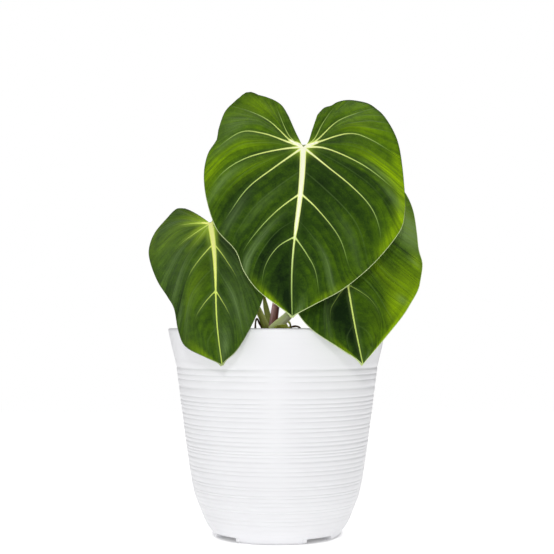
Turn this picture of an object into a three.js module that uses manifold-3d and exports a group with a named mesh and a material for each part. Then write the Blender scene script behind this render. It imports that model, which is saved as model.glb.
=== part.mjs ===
// A potted Philodendron gloriosum: three heart-shaped leaves on a creeping stem that lies
// half sunk in potting mix, in a white plastic pot with fine ribs.
// Millimetres, +Z up. The pot's axis is the Z axis and its flat underside is on z = 0.

import * as THREE from 'three';
import { mergeVertices } from 'three/addons/utils/BufferGeometryUtils.js';
import Module from 'manifold-3d';

const wasm = await Module();
wasm.setup();

const { degToRad, lerp } = THREE.MathUtils;

// ---------------------------------------------------------------- driving dimensions

const GAP = 0.35; // clearance between pieces that touch

const POT = {
  height: 150,
  wall: 2.4,
  segments: 48,
  // outer radius at a height, from the rounded lower edge up to the flared rim
  outline: [
    [1.8, 46.5], [9, 51.6], [18, 55.6], [31, 60.4], [53, 64.4],
    [88, 69.2], [123, 73.9], [136, 77], [148.6, 79.8],
  ],
  // ribs are the bands left between turned grooves: height, width, depth
  grooves: [
    [122, 2.6, 1.1], [108.5, 2.6, 0.6], [98.5, 1.8, 0.6], [89.5, 1.8, 0.6],
    [79.5, 1.8, 0.6], [69.8, 2.2, 0.9], [59.1, 2.2, 0.9], [49.8, 1.8, 0.6],
    [41.2, 1.8, 0.6], [31.2, 1.8, 0.6], [23.2, 1.8, 0.6], [14.5, 1.8, 0.6],
  ],
  // the underside stands flat, with channels that let water out between four feet
  footRadius: 44.6,
  footTurn: -5.5,
  channels: 4,
  channelWidth: 23,
  channelHeight: 3.5,
  channelStart: 15,
  drainRadius: 4,
  drainCircle: 24,
  innerLevels: [9, 14, 30, 60, 100, 130, 138],
};

const SOIL = {
  level: 141,
  lump: 1.3,
  rings: [66, 56, 46, 36, 26, 16, 8],
};

const RHIZOME = {
  path: [[-2, 47, 139], [-1, 32, 142], [0, 14, 144], [1.5, -2, 147], [3.5, -13, 150.5]],
  // radius at a fraction of the length
  radius: [[0, 5], [0.06, 7.6], [0.4, 8.6], [0.75, 8.4], [0.94, 6.2], [1, 3]],
  sides: 12,
  steps: 30,
  scars: 7,
  scarDepth: 0.7,
};

// Short roots that arch out of the rhizome and down into the mix.
const ROOT_RADIUS = 0.9;
const ROOTS = [
  [[-2, 6, 147], [-10, 5, 153], [-15.2, 4, 153.5], [-16, 4, 136]],
  [[2, -2, 149], [7.5, -4, 155], [9.4, -4.5, 153.5], [10, -5, 136]],
  [[4, 2, 147], [11, 1, 151], [16.5, 0, 150.5], [18.5, 0, 136]],
  [[-3, 26, 143], [-10, 27, 146], [-13, 28, 144], [-14, 28, 134]],
];

// Margins are flat outlines in mm, [across, along] from where the stalk joins, with along
// growing towards the tip. Each starts at the top of the notch and ends at the tip.
// A ray runs from the joint, or from a fork of the midrib, out to the margin. It is written as
// the fraction of the margin where it ends and the places that it passes. The first ray of a half
// is the edge of the notch, and the other seven are its main veins. Forks are fractions of the
// length of the midrib, one for each ray.
const LEAVES = {
  front: {
    at: [18.2, -56, 275.4],
    yaw: 0,
    roll: 4,
    slope: 24,
    droop: -16,
    lobeBack: -30,
    fold: 6,
    curl: 26,
    length: 123,
    width: 75,
    forks: [0, 0, 0, 0, 0, 0, 0.285, 0.55],
    waves: { height: 1.5, count: 3.2, phase: 0.6 },
    right: {
      margin: [
        [11, -33], [21, -42], [33, -45], [46.5, -45.5], [57, -35], [66.3, -16], [71, 5], [73, 32],
        [69.5, 57], [54, 80.5], [33, 102], [15, 114],
      ],
      rays: [
        [0, [4.5, -14]], [0.06, [7, -6.5], [13, -22]], [0.18, [9, -6], [22, -23], [35, -33]],
        [0.37, [11, -5], [31, -14], [46, -12]], [0.5, [15, 0], [37, 8], [52, 16]],
        [0.66, [18, 17], [40, 36], [54, 54]], [0.79, [14, 46], [30, 67], [37, 87]],
        [0.92, [8, 80], [14, 92]],
      ],
    },
    left: {
      margin: [
        [14, -30], [25, -40], [38, -46], [46, -43], [57, -30], [61, -12], [62, -3], [67, 8],
        [68, 24], [64, 44], [55, 66], [41, 81], [34, 95], [24, 107], [9, 117.5],
      ],
      rays: [
        [0, [6, -12]], [0.05, [7, -4.5], [13, -13]], [0.2, [9, -4], [25, -20], [41, -30]],
        [0.42, [11, -3], [29, -9], [46, -9]], [0.54, [14, 3], [38, 11], [54, 22]],
        [0.67, [20, 19], [36, 35], [47, 54]], [0.785, [14, 48], [27, 64], [35, 79]],
        [0.89, [12, 77], [20, 91]],
      ],
    },
    stalk: {
      radius: [2.9, 2.1],
      path: [
        [-3.5, 3, 146], [-2.4, 2, 156], [0, 0, 172],
        [6, -6, 207], [12.5, -19, 243], [16.6, -38, 265],
      ],
    },
  },
  left: {
    at: [-47, -37, 224.1],
    yaw: -6,
    roll: -9,
    slope: 42,
    droop: -34,
    lobeBack: -85,
    fold: 6,
    curl: 30,
    length: 111.5,
    width: 50,
    forks: [0, 0, 0, 0, 0, 0, 0.18, 0.53],
    waves: { height: 1.3, count: 3, phase: 2.1 },
    right: {
      margin: [
        [12, -24], [22, -31], [33, -27], [40, -14], [43, 4], [43, 24], [40, 44], [33, 67],
        [25, 84], [15, 96], [6, 106],
      ],
      rays: [
        [0, [5, -12]], [0.05, [5, -5], [12, -18]], [0.15, [7, -3.5], [20, -14]],
        [0.33, [14, -4], [28, -2]], [0.5, [14, 9], [28, 25]], [0.66, [9, 13], [22, 34]],
        [0.82, [9, 37], [17, 56]], [0.93, [7, 73], [11, 87]],
      ],
    },
    left: {
      margin: [
        [22, -25], [28, -26], [34, -19], [43, -10], [47, 5], [46.5, 20], [41, 40], [33, 57],
        [28.5, 68], [27, 84], [23.5, 95], [11, 104.5],
      ],
      rays: [
        [0, [11, -11]], [0.04, [6, -4], [14, -13]], [0.12, [8, -3], [20, -11]],
        [0.3, [16, -3], [28, -3]], [0.47, [12, 8], [24, 17]], [0.62, [8, 12], [20, 30]],
        [0.73, [11, 34], [18, 47]], [0.9, [9, 69], [15, 80]],
      ],
    },
    stalk: {
      radius: [2.6, 1.9],
      path: [
        [-4.5, 14, 145], [-7.9, 13, 150.5], [-13.2, 11, 162],
        [-28, 1, 190], [-40.5, -15, 212],
      ],
    },
  },
  right: {
    at: [37.2, -46, 231.2],
    yaw: 10,
    roll: -7,
    slope: 28,
    droop: -14,
    lobeBack: -40,
    fold: 6,
    curl: 26,
    length: 114,
    width: 58,
    forks: [0, 0, 0, 0, 0, 0, 0.25, 0.5],
    waves: { height: 1.4, count: 3, phase: 4 },
    right: {
      margin: [
        [10, -20], [24, -30], [38, -33], [51, -28], [60, -15], [63.5, 0], [61, 21], [59, 34],
        [59.5, 45], [54, 57], [33, 83], [15, 101],
      ],
      rays: [
        [0, [4, -9]], [0.06, [5, -4.5], [12, -18]], [0.17, [8, -4.5], [24, -17]],
        [0.4, [20, -7], [42, -4]], [0.58, [22, 9], [41, 29]], [0.66, [14, 15], [32, 40]],
        [0.76, [14, 45], [26, 66]], [0.91, [13, 69], [18, 83]],
      ],
    },
    left: {
      margin: [
        [9, -17], [19, -25], [30, -27], [40, -21], [46, -7], [48, 12], [45, 38], [39, 67],
        [30, 85], [14, 101.5], [5, 109],
      ],
      rays: [
        [0, [4, -8]], [0.05, [4.5, -4.5], [10, -15]], [0.15, [7, -5.5], [18, -15]],
        [0.31, [12, -3.5], [30, -4]], [0.5, [12, 6], [30, 22]], [0.64, [8, 12], [24, 36]],
        [0.78, [10, 44], [22, 62]], [0.9, [9, 66], [16, 78]],
      ],
    },
    stalk: {
      radius: [3.4, 2],
      path: [
        [-3, -7, 148.5], [0.3, -8.5, 152], [9.3, -10, 160.5],
        [19, -13, 177], [29, -21, 203], [35, -33, 221],
      ],
    },
  },
};

const BLADE = {
  thickness: 0.7,
  midrib: 2,
  veinRib: 0.5,
  quilt: 0.9,
  stepsPerVein: 3,
  across: [0, 0.06, 0.25, 0.5, 0.75, 0.93, 1],
};

const CATAPHYLL = {
  path: [[-3.5, 22, 146], [-5.2, 21, 152], [-8.8, 20, 168], [-10.5, 19, 178]],
  radius: [[0, 2.6], [0.4, 2.4], [0.8, 1.3], [1, 0.4]],
};

// ---------------------------------------------------------------- shared geometry

// A smooth value through [x, value] pairs.
function valueAt(pairs, x) {
  const last = pairs.length - 1;
  let i = 0;
  while (i < last - 1 && x > pairs[i + 1][0]) i += 1;
  const slope = (j) => {
    const before = pairs[Math.max(j - 1, 0)];
    const after = pairs[Math.min(j + 1, last)];
    return (after[1] - before[1]) / (after[0] - before[0]);
  };
  const span = pairs[i + 1][0] - pairs[i][0];
  const t = (x - pairs[i][0]) / span;
  const rise = pairs[i + 1][1] - pairs[i][1];
  const start = slope(i) * span;
  const end = slope(i + 1) * span;
  return pairs[i][1] + start * t + (3 * rise - 2 * start - end) * t * t + (start + end - 2 * rise) * t ** 3;
}

// A geometry with shared vertices and no triangle that has collapsed to a line.
function welded(geometry) {
  const bare = geometry.clone();
  bare.deleteAttribute('normal');
  bare.deleteAttribute('uv');
  const merged = mergeVertices(bare, 1e-3);
  const kept = [];
  for (let i = 0; i < merged.index.count; i += 3) {
    const [a, b, c] = [0, 1, 2].map((k) => merged.index.getX(i + k));
    if (a !== b && b !== c && c !== a) kept.push(a, b, c);
  }
  merged.setIndex(kept);
  return merged;
}

function toManifold(geometry) {
  const shell = welded(geometry);
  const make = (triangles) => new wasm.Manifold(new wasm.Mesh({
    numProp: 3,
    vertProperties: Float32Array.from(shell.attributes.position.array),
    triVerts: Uint32Array.from(triangles),
  }));
  const solid = make(shell.index.array);
  if (solid.volume() > 0) return solid;
  return make(Array.from(shell.index.array).reverse());
}

function toGeometry(solid) {
  const mesh = solid.getMesh();
  const geometry = new THREE.BufferGeometry();
  geometry.setAttribute('position', new THREE.BufferAttribute(mesh.vertProperties, 3));
  geometry.setIndex(new THREE.BufferAttribute(mesh.triVerts, 1));
  return geometry;
}

function fromTriangles(points, triangles) {
  const geometry = new THREE.BufferGeometry();
  geometry.setFromPoints(points);
  geometry.setIndex(triangles);
  return geometry;
}

// A closed body through rings of equal count, with a fan over each end.
function loft(rings) {
  const count = rings[0].length;
  const points = rings.flat();
  const triangles = [];
  for (let r = 0; r + 1 < rings.length; r += 1) {
    for (let k = 0; k < count; k += 1) {
      const a = r * count + k;
      const b = r * count + (k + 1) % count;
      triangles.push(a, b, b + count, a, b + count, a + count);
    }
  }
  const cap = (ring, base, turned) => {
    const centre = new THREE.Vector3();
    ring.forEach((p) => centre.addScaledVector(p, 1 / count));
    points.push(centre);
    for (let k = 0; k < count; k += 1) {
      const pair = [base + k, base + (k + 1) % count];
      if (turned) pair.reverse();
      triangles.push(pair[0], pair[1], points.length - 1);
    }
  };
  cap(rings[0], 0, true);
  cap(rings.at(-1), (rings.length - 1) * count, false);
  return fromTriangles(points, triangles);
}

function vectors(list) {
  return list.map((p) => new THREE.Vector3(...p));
}

// Rings along a smooth path. section(angle, t) gives the radius, and angle 0 points to facing.
function ringsAlong(path, section, facing, sides, steps) {
  const curve = new THREE.CatmullRomCurve3(path);
  const rings = [];
  for (let i = 0; i <= steps; i += 1) {
    const t = i / steps;
    const centre = curve.getPointAt(t);
    const tangent = curve.getTangentAt(t);
    const side = new THREE.Vector3().crossVectors(tangent, facing).normalize();
    const front = new THREE.Vector3().crossVectors(side, tangent);
    const ring = [];
    for (let k = 0; k < sides; k += 1) {
      const angle = (2 * Math.PI * k) / sides;
      const r = section(angle, t);
      const point = centre.clone().addScaledVector(front, r * Math.cos(angle));
      ring.push(point.addScaledVector(side, r * Math.sin(angle)));
    }
    rings.push(ring);
  }
  return rings;
}

// ---------------------------------------------------------------- pot

function potRadius(z) {
  return valueAt(POT.outline, z);
}

function turned(profile) {
  const body = new THREE.LatheGeometry(profile.map(([r, z]) => new THREE.Vector2(r, z)), POT.segments);
  return body.rotateX(Math.PI / 2);
}

function potOutside() {
  const profile = [[0, POT.height], [78.4, POT.height], [79.4, 149.8], [79.8, 148.6]];
  profile.push([potRadius(141), 141], [potRadius(132), 132]);
  POT.grooves.forEach(([z, width, depth]) => {
    const [above, below] = [z + width / 2, z - width / 2];
    profile.push([potRadius(above), above], [potRadius(z) - depth, z], [potRadius(below), below]);
  });
  [9, 4.7, 1.8].forEach((z) => profile.push([potRadius(z), z]));
  profile.push([POT.footRadius, 0], [0, 0]);
  return toManifold(turned(profile));
}

// The space inside the pot, from its floor up to a height, a little smaller by the inset.
function insideProfile(inset) {
  const floor = POT.wall + inset;
  const profile = [[0, floor], [POT.footRadius - 1 - inset, floor]];
  POT.innerLevels.forEach((z) => profile.push([potRadius(z) - POT.wall - 2 * inset, z]));
  return profile;
}

// A radial bar through every channel. Its outline grows by the margin on all sides but the outer one.
function channelBars(margin) {
  const reach = 60;
  const start = POT.channelStart - margin;
  const height = POT.channelHeight + margin;
  const bars = [];
  for (let i = 0; i < POT.channels; i += 1) {
    const bar = new THREE.BoxGeometry(POT.channelWidth + 2 * margin, reach - start, 2 * height);
    bar.translate(0, -(reach + start) / 2, 0);
    bar.rotateZ(channelAngle(i));
    bars.push(toManifold(bar));
  }
  return bars;
}

function channelAngle(i) {
  return degToRad(POT.footTurn + (360 / POT.channels) * (i + 0.5));
}

function potGeometry() {
  const lip = potRadius(148) - POT.wall;
  const rim = [[lip, 149.2], [lip + 0.8, POT.height + 1], [0, POT.height + 1]];
  let inside = toManifold(turned(insideProfile(0).concat(rim)));
  channelBars(POT.wall).forEach((bar) => { inside = inside.subtract(bar); });
  let pot = potOutside().subtract(inside);
  channelBars(0).forEach((bar, i) => {
    const drain = new THREE.CylinderGeometry(POT.drainRadius, POT.drainRadius, 20, 12);
    drain.rotateX(Math.PI / 2);
    drain.translate(0, -POT.drainCircle, 0);
    drain.rotateZ(channelAngle(i));
    pot = pot.subtract(bar).subtract(toManifold(drain));
  });
  return toGeometry(pot);
}

// ---------------------------------------------------------------- leaf blades

// A point in the blade's own frame, and the direction out of its upper face.
// The blade slopes down from the stalk, and each half folds up and then curls back.
function onBlade(leaf, across, along) {
  const bend = degToRad(along >= 0 ? leaf.droop : leaf.lobeBack) / leaf.length;
  const start = degToRad(leaf.slope);
  const angle = start + bend * along;
  const fold = degToRad(leaf.fold);
  const curl = degToRad(leaf.curl) / leaf.width;
  const reach = Math.abs(across);
  const x = Math.sign(across) * (Math.sin(fold) - Math.sin(fold - curl * reach)) / curl;
  const lift = (Math.cos(fold - curl * reach) - Math.cos(fold)) / curl;
  const up = new THREE.Vector3(0, -Math.cos(angle), Math.sin(angle));
  const point = new THREE.Vector3(
    x,
    -(Math.cos(start) - Math.cos(angle)) / bend,
    -(Math.sin(angle) - Math.sin(start)) / bend,
  );
  return { point: point.addScaledVector(up, lift), up };
}

function flatSpline(keys) {
  const curve = new THREE.SplineCurve(keys.map((p) => new THREE.Vector2(...p)));
  curve.arcLengthDivisions = 400;
  return curve;
}

// The flat shape of one half: ray number a from 0 (the notch) to the tip, t from midrib to margin.
function halfLeaf(leaf, side) {
  const half = side < 0 ? leaf.left : leaf.right;
  const margin = flatSpline(half.margin.concat([[0, leaf.length]]));
  const ends = half.rays.map(([end]) => end).concat([1]);
  const rays = half.rays.map(([end, ...passes], i) => {
    const start = [0, leaf.forks[i] * leaf.length];
    return flatSpline([start, ...passes, margin.getPointAt(end).toArray()]);
  });
  rays.push({ getPointAt: () => new THREE.Vector2(0, leaf.length) });
  const flat = (a, t) => {
    const i = Math.min(Math.floor(a), rays.length - 2);
    const between = (share) => rays[i].getPointAt(share).lerp(rays[i + 1].getPointAt(share), a - i);
    const end = lerp(ends[i], ends[i + 1], a - i);
    const gap = margin.getPointAt(end).sub(between(1));
    const point = between(t).addScaledVector(gap, t * t);
    return { across: side * point.x, along: point.y, end };
  };
  return { flat, count: rays.length - 1 };
}

function bladeGeometry(leaf) {
  const points = [];
  const thickness = [];
  const faces = [];
  [-1, 1].forEach((side) => {
    const { flat, count } = halfLeaf(leaf, side);
    const first = points.length;
    const columns = count * BLADE.stepsPerVein;
    for (let i = 0; i <= columns; i += 1) {
      const a = i / BLADE.stepsPerVein;
      const between = Math.sin(Math.PI * a) ** 2;
      BLADE.across.forEach((t) => {
        const { across, along, end } = flat(a, t);
        const { point, up } = onBlade(leaf, across, along);
        const { height, count: turns, phase } = leaf.waves;
        const wave = height * Math.sin(2 * Math.PI * turns * end + phase + side) * t ** 3 * Math.min(a, 1);
        point.addScaledVector(up, wave + BLADE.quilt * between * Math.sin(Math.PI * t));
        points.push(point);
        const taper = 1 - (0.7 * along) / leaf.length;
        const rib = t === 0 ? BLADE.midrib * taper : BLADE.veinRib * (1 - between) * (1 - t);
        thickness.push(BLADE.thickness + rib);
      });
    }
    const rows = BLADE.across.length;
    for (let i = 0; i < columns; i += 1) {
      for (let j = 0; j + 1 < rows; j += 1) {
        const a = first + i * rows + j;
        const [b, c, d] = [a + 1, a + rows + 1, a + rows];
        if (side < 0) faces.push(a, b, c, a, c, d);
        else faces.push(a, c, b, a, d, c);
      }
    }
  });
  return slab(points, faces, thickness);
}

// A sheet made solid: the same triangles on a lower face, and a wall round the open edge.
function slab(points, faces, thickness) {
  const sheet = fromTriangles(points, faces);
  const height = new THREE.BufferAttribute(Float32Array.from(thickness), 1);
  sheet.setAttribute('height', height);
  const merged = joinSheet(sheet);
  merged.computeVertexNormals();
  const top = merged.attributes.position;
  const normal = merged.attributes.normal;
  const count = top.count;
  const all = [];
  for (let i = 0; i < count; i += 1) all.push(new THREE.Vector3().fromBufferAttribute(top, i));
  for (let i = 0; i < count; i += 1) {
    const down = new THREE.Vector3().fromBufferAttribute(normal, i);
    all.push(all[i].clone().addScaledVector(down, -merged.attributes.height.getX(i)));
  }
  const triangles = Array.from(merged.index.array);
  const used = new Set();
  for (let i = 0; i < merged.index.count; i += 3) {
    const [a, b, c] = [0, 1, 2].map((k) => merged.index.getX(i + k));
    [[a, b], [b, c], [c, a]].forEach(([p, q]) => used.add(`${p}-${q}`));
    triangles.push(count + a, count + c, count + b);
  }
  used.forEach((edge) => {
    const [p, q] = edge.split('-').map(Number);
    if (!used.has(`${q}-${p}`)) triangles.push(q, p, count + p, q, count + p, count + q);
  });
  return fromTriangles(all, triangles);
}

// Points at the same place become one, and keep the greater height.
function joinSheet(sheet) {
  const position = sheet.attributes.position;
  const places = new Map();
  const target = [];
  const points = [];
  const heights = [];
  for (let i = 0; i < position.count; i += 1) {
    const point = new THREE.Vector3().fromBufferAttribute(position, i);
    const key = point.toArray().map((x) => Math.round(x * 1e3)).join();
    if (!places.has(key)) {
      places.set(key, points.length);
      points.push(point);
      heights.push(0);
    }
    const at = places.get(key);
    heights[at] = Math.max(heights[at], sheet.attributes.height.getX(i));
    target.push(at);
  }
  const kept = [];
  for (let i = 0; i < sheet.index.count; i += 3) {
    const [a, b, c] = [0, 1, 2].map((k) => target[sheet.index.getX(i + k)]);
    if (a !== b && b !== c && c !== a) kept.push(a, b, c);
  }
  const joined = fromTriangles(points, kept);
  joined.setAttribute('height', new THREE.BufferAttribute(Float32Array.from(heights), 1));
  return joined;
}

function place(mesh, leaf) {
  mesh.position.set(...leaf.at);
  mesh.rotation.set(0, degToRad(leaf.roll), degToRad(leaf.yaw), 'ZYX');
  mesh.updateMatrix();
}

// ---------------------------------------------------------------- stalks

// A D-shaped section: round in front, flatter on the side that faces the blade's upper face.
function stalkSection(radius, grow) {
  return (angle, t) => {
    const flat = Math.max(0, Math.cos(angle)) ** 2;
    return lerp(radius[0], radius[1], t) * (1 - 0.25 * flat) + grow;
  };
}

// The stalk ends on a plane behind the blade, parallel to it.
function stalkGeometry(leaf, grow = 0) {
  const frame = new THREE.Object3D();
  place(frame, leaf);
  const { point, up } = onBlade(leaf, 0, 1.5);
  point.applyMatrix4(frame.matrix);
  up.transformDirection(frame.matrix);
  const behind = BLADE.thickness + BLADE.midrib + GAP;
  const end = point.addScaledVector(up, -behind);
  const path = vectors(leaf.stalk.path).concat([end]);
  const start = path[0].clone().sub(path[1]).setLength(grow);
  path[0].add(start);
  const rings = ringsAlong(path, stalkSection(leaf.stalk.radius, grow), new THREE.Vector3(0, 1, 0), 10, 18);
  const tangent = end.clone().sub(path.at(-2)).normalize();
  rings.at(-1).forEach((p) => {
    const away = up.dot(p.clone().sub(end)) / up.dot(tangent);
    p.addScaledVector(tangent, -away);
  });
  return loft(rings);
}

// A pointed sheath that once wrapped a young leaf.
function cataphyllGeometry(grow = 0) {
  const section = (angle, t) => valueAt(CATAPHYLL.radius, t) + grow;
  const path = vectors(CATAPHYLL.path);
  path[0].add(path[0].clone().sub(path[1]).setLength(grow));
  return loft(ringsAlong(path, section, new THREE.Vector3(0, 1, 0), 8, 10));
}

// ---------------------------------------------------------------- rhizome and potting mix

function rhizomeSolid(grow = 0) {
  const section = (angle, t) => {
    const ring = Math.abs(Math.sin(Math.PI * RHIZOME.scars * t));
    return valueAt(RHIZOME.radius, t) - RHIZOME.scarDepth * (1 - ring) + grow;
  };
  const up = new THREE.Vector3(0, 0, 1);
  const spine = vectors(RHIZOME.path);
  spine[0].add(spine[0].clone().sub(spine[1]).setLength(grow));
  let body = toManifold(loft(ringsAlong(spine, section, up, RHIZOME.sides, RHIZOME.steps)));
  ROOTS.forEach((root) => {
    const taper = (angle, t) => ROOT_RADIUS * (1 - 0.3 * t) + grow;
    const path = vectors(root);
    path.at(-1).z -= grow;
    body = body.add(toManifold(loft(ringsAlong(path, taper, new THREE.Vector3(0, 1, 0), 6, 10))));
  });
  return body;
}

function rhizomeGeometry() {
  let body = rhizomeSolid();
  Object.values(LEAVES).forEach((leaf) => {
    body = body.subtract(toManifold(stalkGeometry(leaf, GAP)));
  });
  return toGeometry(body.subtract(toManifold(cataphyllGeometry(GAP))));
}

function soilLump(x, y) {
  const coarse = Math.sin(0.19 * x + 1.3) * Math.cos(0.16 * y - 0.4);
  const fine = Math.sin(0.43 * x - 0.37 * y + 2) + Math.cos(0.31 * x + 0.52 * y);
  return SOIL.lump * (0.6 * coarse + 0.4 * fine);
}

function soilGeometry() {
  const top = SOIL.rings.concat([0]).map((r) => [r, SOIL.level]);
  const body = turned(insideProfile(GAP).concat(top));
  const position = body.attributes.position;
  for (let i = 0; i < position.count; i += 1) {
    if (position.getZ(i) < SOIL.level - 0.5) continue;
    position.setZ(i, position.getZ(i) + soilLump(position.getX(i), position.getY(i)));
  }
  let soil = toManifold(body).subtract(rhizomeSolid(GAP));
  channelBars(POT.wall + GAP).forEach((bar) => { soil = soil.subtract(bar); });
  return toGeometry(soil);
}

// ---------------------------------------------------------------- the object

const finish = (color, roughness) => new THREE.MeshStandardMaterial({ color, roughness, metalness: 0 });
const materials = {
  plastic: finish(0xf2f2f1, 0.4),
  soil: finish(0x4a3526, 0.95),
  rhizome: finish(0x9aa548, 0.6),
  blade: finish(0x2c5a14, 0.55),
  greenStalk: finish(0x7d8a3c, 0.5),
  redStalk: finish(0x7a3a35, 0.5),
};

function named(name, geometry, material) {
  const mesh = new THREE.Mesh(geometry, material);
  mesh.name = name;
  return mesh;
}

const plant = new THREE.Group();
plant.add(named('pot', potGeometry(), materials.plastic));
plant.add(named('soil', soilGeometry(), materials.soil));
plant.add(named('rhizome', rhizomeGeometry(), materials.rhizome));
plant.add(named('cataphyll', cataphyllGeometry(), materials.greenStalk));
Object.entries(LEAVES).forEach(([name, leaf]) => {
  const stalkMaterial = name === 'front' ? materials.redStalk : materials.greenStalk;
  plant.add(named(`petiole_${name}`, stalkGeometry(leaf), stalkMaterial));
  const blade = named(`blade_${name}`, bladeGeometry(leaf), materials.blade);
  place(blade, leaf);
  plant.add(blade);
});

export default plant;
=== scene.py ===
# %% [markdown]
# A young Philodendron gloriosum in a white ribbed pot.
#
# Three heart-shaped leaves stand on slender stalks. The stalks rise from a thick creeping stem
# that lies half sunk in potting mix. This notebook dresses the plain solids of the part with
# finer pieces: the leaves and their veins, the stalks, the stem, the mix and the turned pot.
#
# Everything is in one frame. Its origin is the middle of the pot's underside, up is +Z, and the
# leaves face -Y. Sizes are written in millimetres and turned into metres where a mesh is made.

# %% The solids of the part
import math
import random

import bpy
import numpy as np
from mathutils import Matrix, Vector, noise


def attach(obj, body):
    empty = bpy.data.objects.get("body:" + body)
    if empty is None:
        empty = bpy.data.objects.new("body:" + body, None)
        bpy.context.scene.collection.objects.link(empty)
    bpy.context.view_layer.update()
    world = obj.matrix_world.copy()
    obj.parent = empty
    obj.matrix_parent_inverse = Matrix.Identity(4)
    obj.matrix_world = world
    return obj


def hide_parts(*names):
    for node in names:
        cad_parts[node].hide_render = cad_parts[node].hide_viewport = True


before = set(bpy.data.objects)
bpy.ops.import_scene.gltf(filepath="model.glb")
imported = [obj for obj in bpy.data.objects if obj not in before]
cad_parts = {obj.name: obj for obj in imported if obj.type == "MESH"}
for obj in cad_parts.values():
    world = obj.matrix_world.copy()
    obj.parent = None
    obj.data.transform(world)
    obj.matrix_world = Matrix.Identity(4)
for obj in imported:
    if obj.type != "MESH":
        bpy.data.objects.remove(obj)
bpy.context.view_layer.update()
MM = 0.001
print("pieces to dress:", ", ".join(sorted(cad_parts)))

# %% [markdown]
# The camera comes first, because every later look depends on it.
#
# A long lens from 85 centimetres shows the curve of the pot's foot and keeps the leaves undistorted.
# The lens is given as a focal length in pixels over an image 554 pixels wide, turned into
# millimetres on a 36 mm sensor. The camera stands level with the pot's rim and looks up a
# little, so no lens shift is needed.

# %% Camera
FOCAL_PIXELS, IMAGE_PIXELS, HORIZON_BELOW_MIDDLE = 1152, 554, 49.8
view = bpy.data.cameras.new("camera")
view.sensor_width = 36
view.lens = view.sensor_width * FOCAL_PIXELS / IMAGE_PIXELS
camera = bpy.data.objects.new("camera", view)
camera.location = (0, -0.85, 0.151)
camera.rotation_euler = (math.radians(90) + math.atan(HORIZON_BELOW_MIDDLE / FOCAL_PIXELS), 0, 0)
bpy.context.scene.collection.objects.link(camera)
bpy.context.scene.camera = camera
print("lens", round(view.lens, 1), "mm")

# %% [markdown]
# Materials are built from nodes. A few short helpers keep each finish readable.
#
# One helper adds a node, sets its options and fills its sockets. A value that is the same all
# over a surface goes straight onto the shader's socket, and only what varies is wired. Colours
# are written as they look on a screen, from 0 to 255, and turned into the linear values that the
# shader wants.

# %% Node helpers
def colour(red, green, blue):
    """A screen colour as the linear values of a shader socket."""
    parts = [c / 255 for c in (red, green, blue)]
    linear = [c / 12.92 if c <= 0.04045 else ((c + 0.055) / 1.055) ** 2.4 for c in parts]
    return (*linear, 1)


def add_node(tree, kind, inputs, **options):
    """Adds a shader node. Its inputs are values or the outputs of other nodes."""
    node = tree.nodes.new("ShaderNode" + kind)
    for name, value in options.items():
        setattr(node, name, value)
    for socket, value in inputs.items():
        if isinstance(value, bpy.types.NodeSocket):
            tree.links.new(value, node.inputs[socket])
        else:
            node.inputs[socket].default_value = value
    return node


def maths(tree, operation, first, second=0.0):
    return add_node(tree, "Math", {0: first, 1: second}, operation=operation).outputs[0]


def plus(tree, first, second):
    return maths(tree, "ADD", first, second)


def times(tree, first, second):
    return maths(tree, "MULTIPLY", first, second)


def remap(tree, value, low, high, to_low=0.0, to_high=1.0):
    """A value moved from one range to another with soft ends. It stays inside the new range."""
    inputs = {"Value": value, "From Min": low, "From Max": high, "To Min": to_low, "To Max": to_high}
    return add_node(tree, "MapRange", inputs, interpolation_type="SMOOTHSTEP").outputs[0]


def mix(tree, share, first, second, way="MIX"):
    inputs = {0: share, 6: first, 7: second}
    return add_node(tree, "Mix", inputs, data_type="RGBA", blend_type=way).outputs[2]


def speckle(tree, place, size, detail):
    """Noise on a place stretched by a size, which is one number or one for each direction."""
    sizes = size if isinstance(size, tuple) else (size, size, size)
    stretched = add_node(tree, "VectorMath", {0: place, 1: sizes}, operation="MULTIPLY").outputs[0]
    return add_node(tree, "TexNoise", {"Vector": stretched, "Scale": 1.0, "Detail": detail}).outputs[0]


def colour_stops(tree, value, stops):
    """A colour for a value from 0 to 1, through (place, colour) stops."""
    node = add_node(tree, "ValToRGB", {0: value})
    elements = node.color_ramp.elements
    while len(elements) < len(stops):
        elements.new(1)
    for element, (place, shade) in zip(elements, stops):
        element.position, element.color = place, shade
    return node.outputs[0]


def object_place(tree):
    """The place on the piece, in metres."""
    return add_node(tree, "TexCoord", {}).outputs["Object"]


def attribute(tree, name, output="Fac"):
    return add_node(tree, "Attribute", {}, attribute_name=name).outputs[output]


def finish(name, **sockets):
    """A new material, its node tree and its shader, with the shader's plain sockets set."""
    material = bpy.data.materials.new(name)
    material.use_nodes = True
    tree = material.node_tree
    shader = tree.nodes["Principled BSDF"]
    for socket, value in sockets.items():
        shader.inputs[socket.replace("_", " ")].default_value = value
    return material, tree, shader


def surface(tree, shader, shade, height=None, depth=0.0002, roughness=None):
    """Wires a colour, a relief of a given depth in metres and a roughness into a shader."""
    tree.links.new(shade, shader.inputs["Base Color"])
    if height is not None:
        relief = add_node(tree, "Bump", {"Height": height, "Distance": depth}).outputs[0]
        tree.links.new(relief, shader.inputs["Normal"])
    if roughness is not None:
        tree.links.new(roughness, shader.inputs["Roughness"])


# %% [markdown]
# A new mesh starts as one of Blender's primitives, and then its points are moved.
#
# Loading the part leaves all of its solids selected, and an operator acts on all that is selected.
# So each piece starts from an empty selection. Points are read and written as one array, which
# is quick even for a leaf of many thousand points. Values that a material needs, such as the
# distance to a vein, are kept on the points as attributes.

# %% Mesh helpers
def start_clean():
    bpy.ops.object.select_all(action="DESELECT")


def select_only(piece):
    start_clean()
    piece.select_set(True)
    bpy.context.view_layer.objects.active = piece


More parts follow.
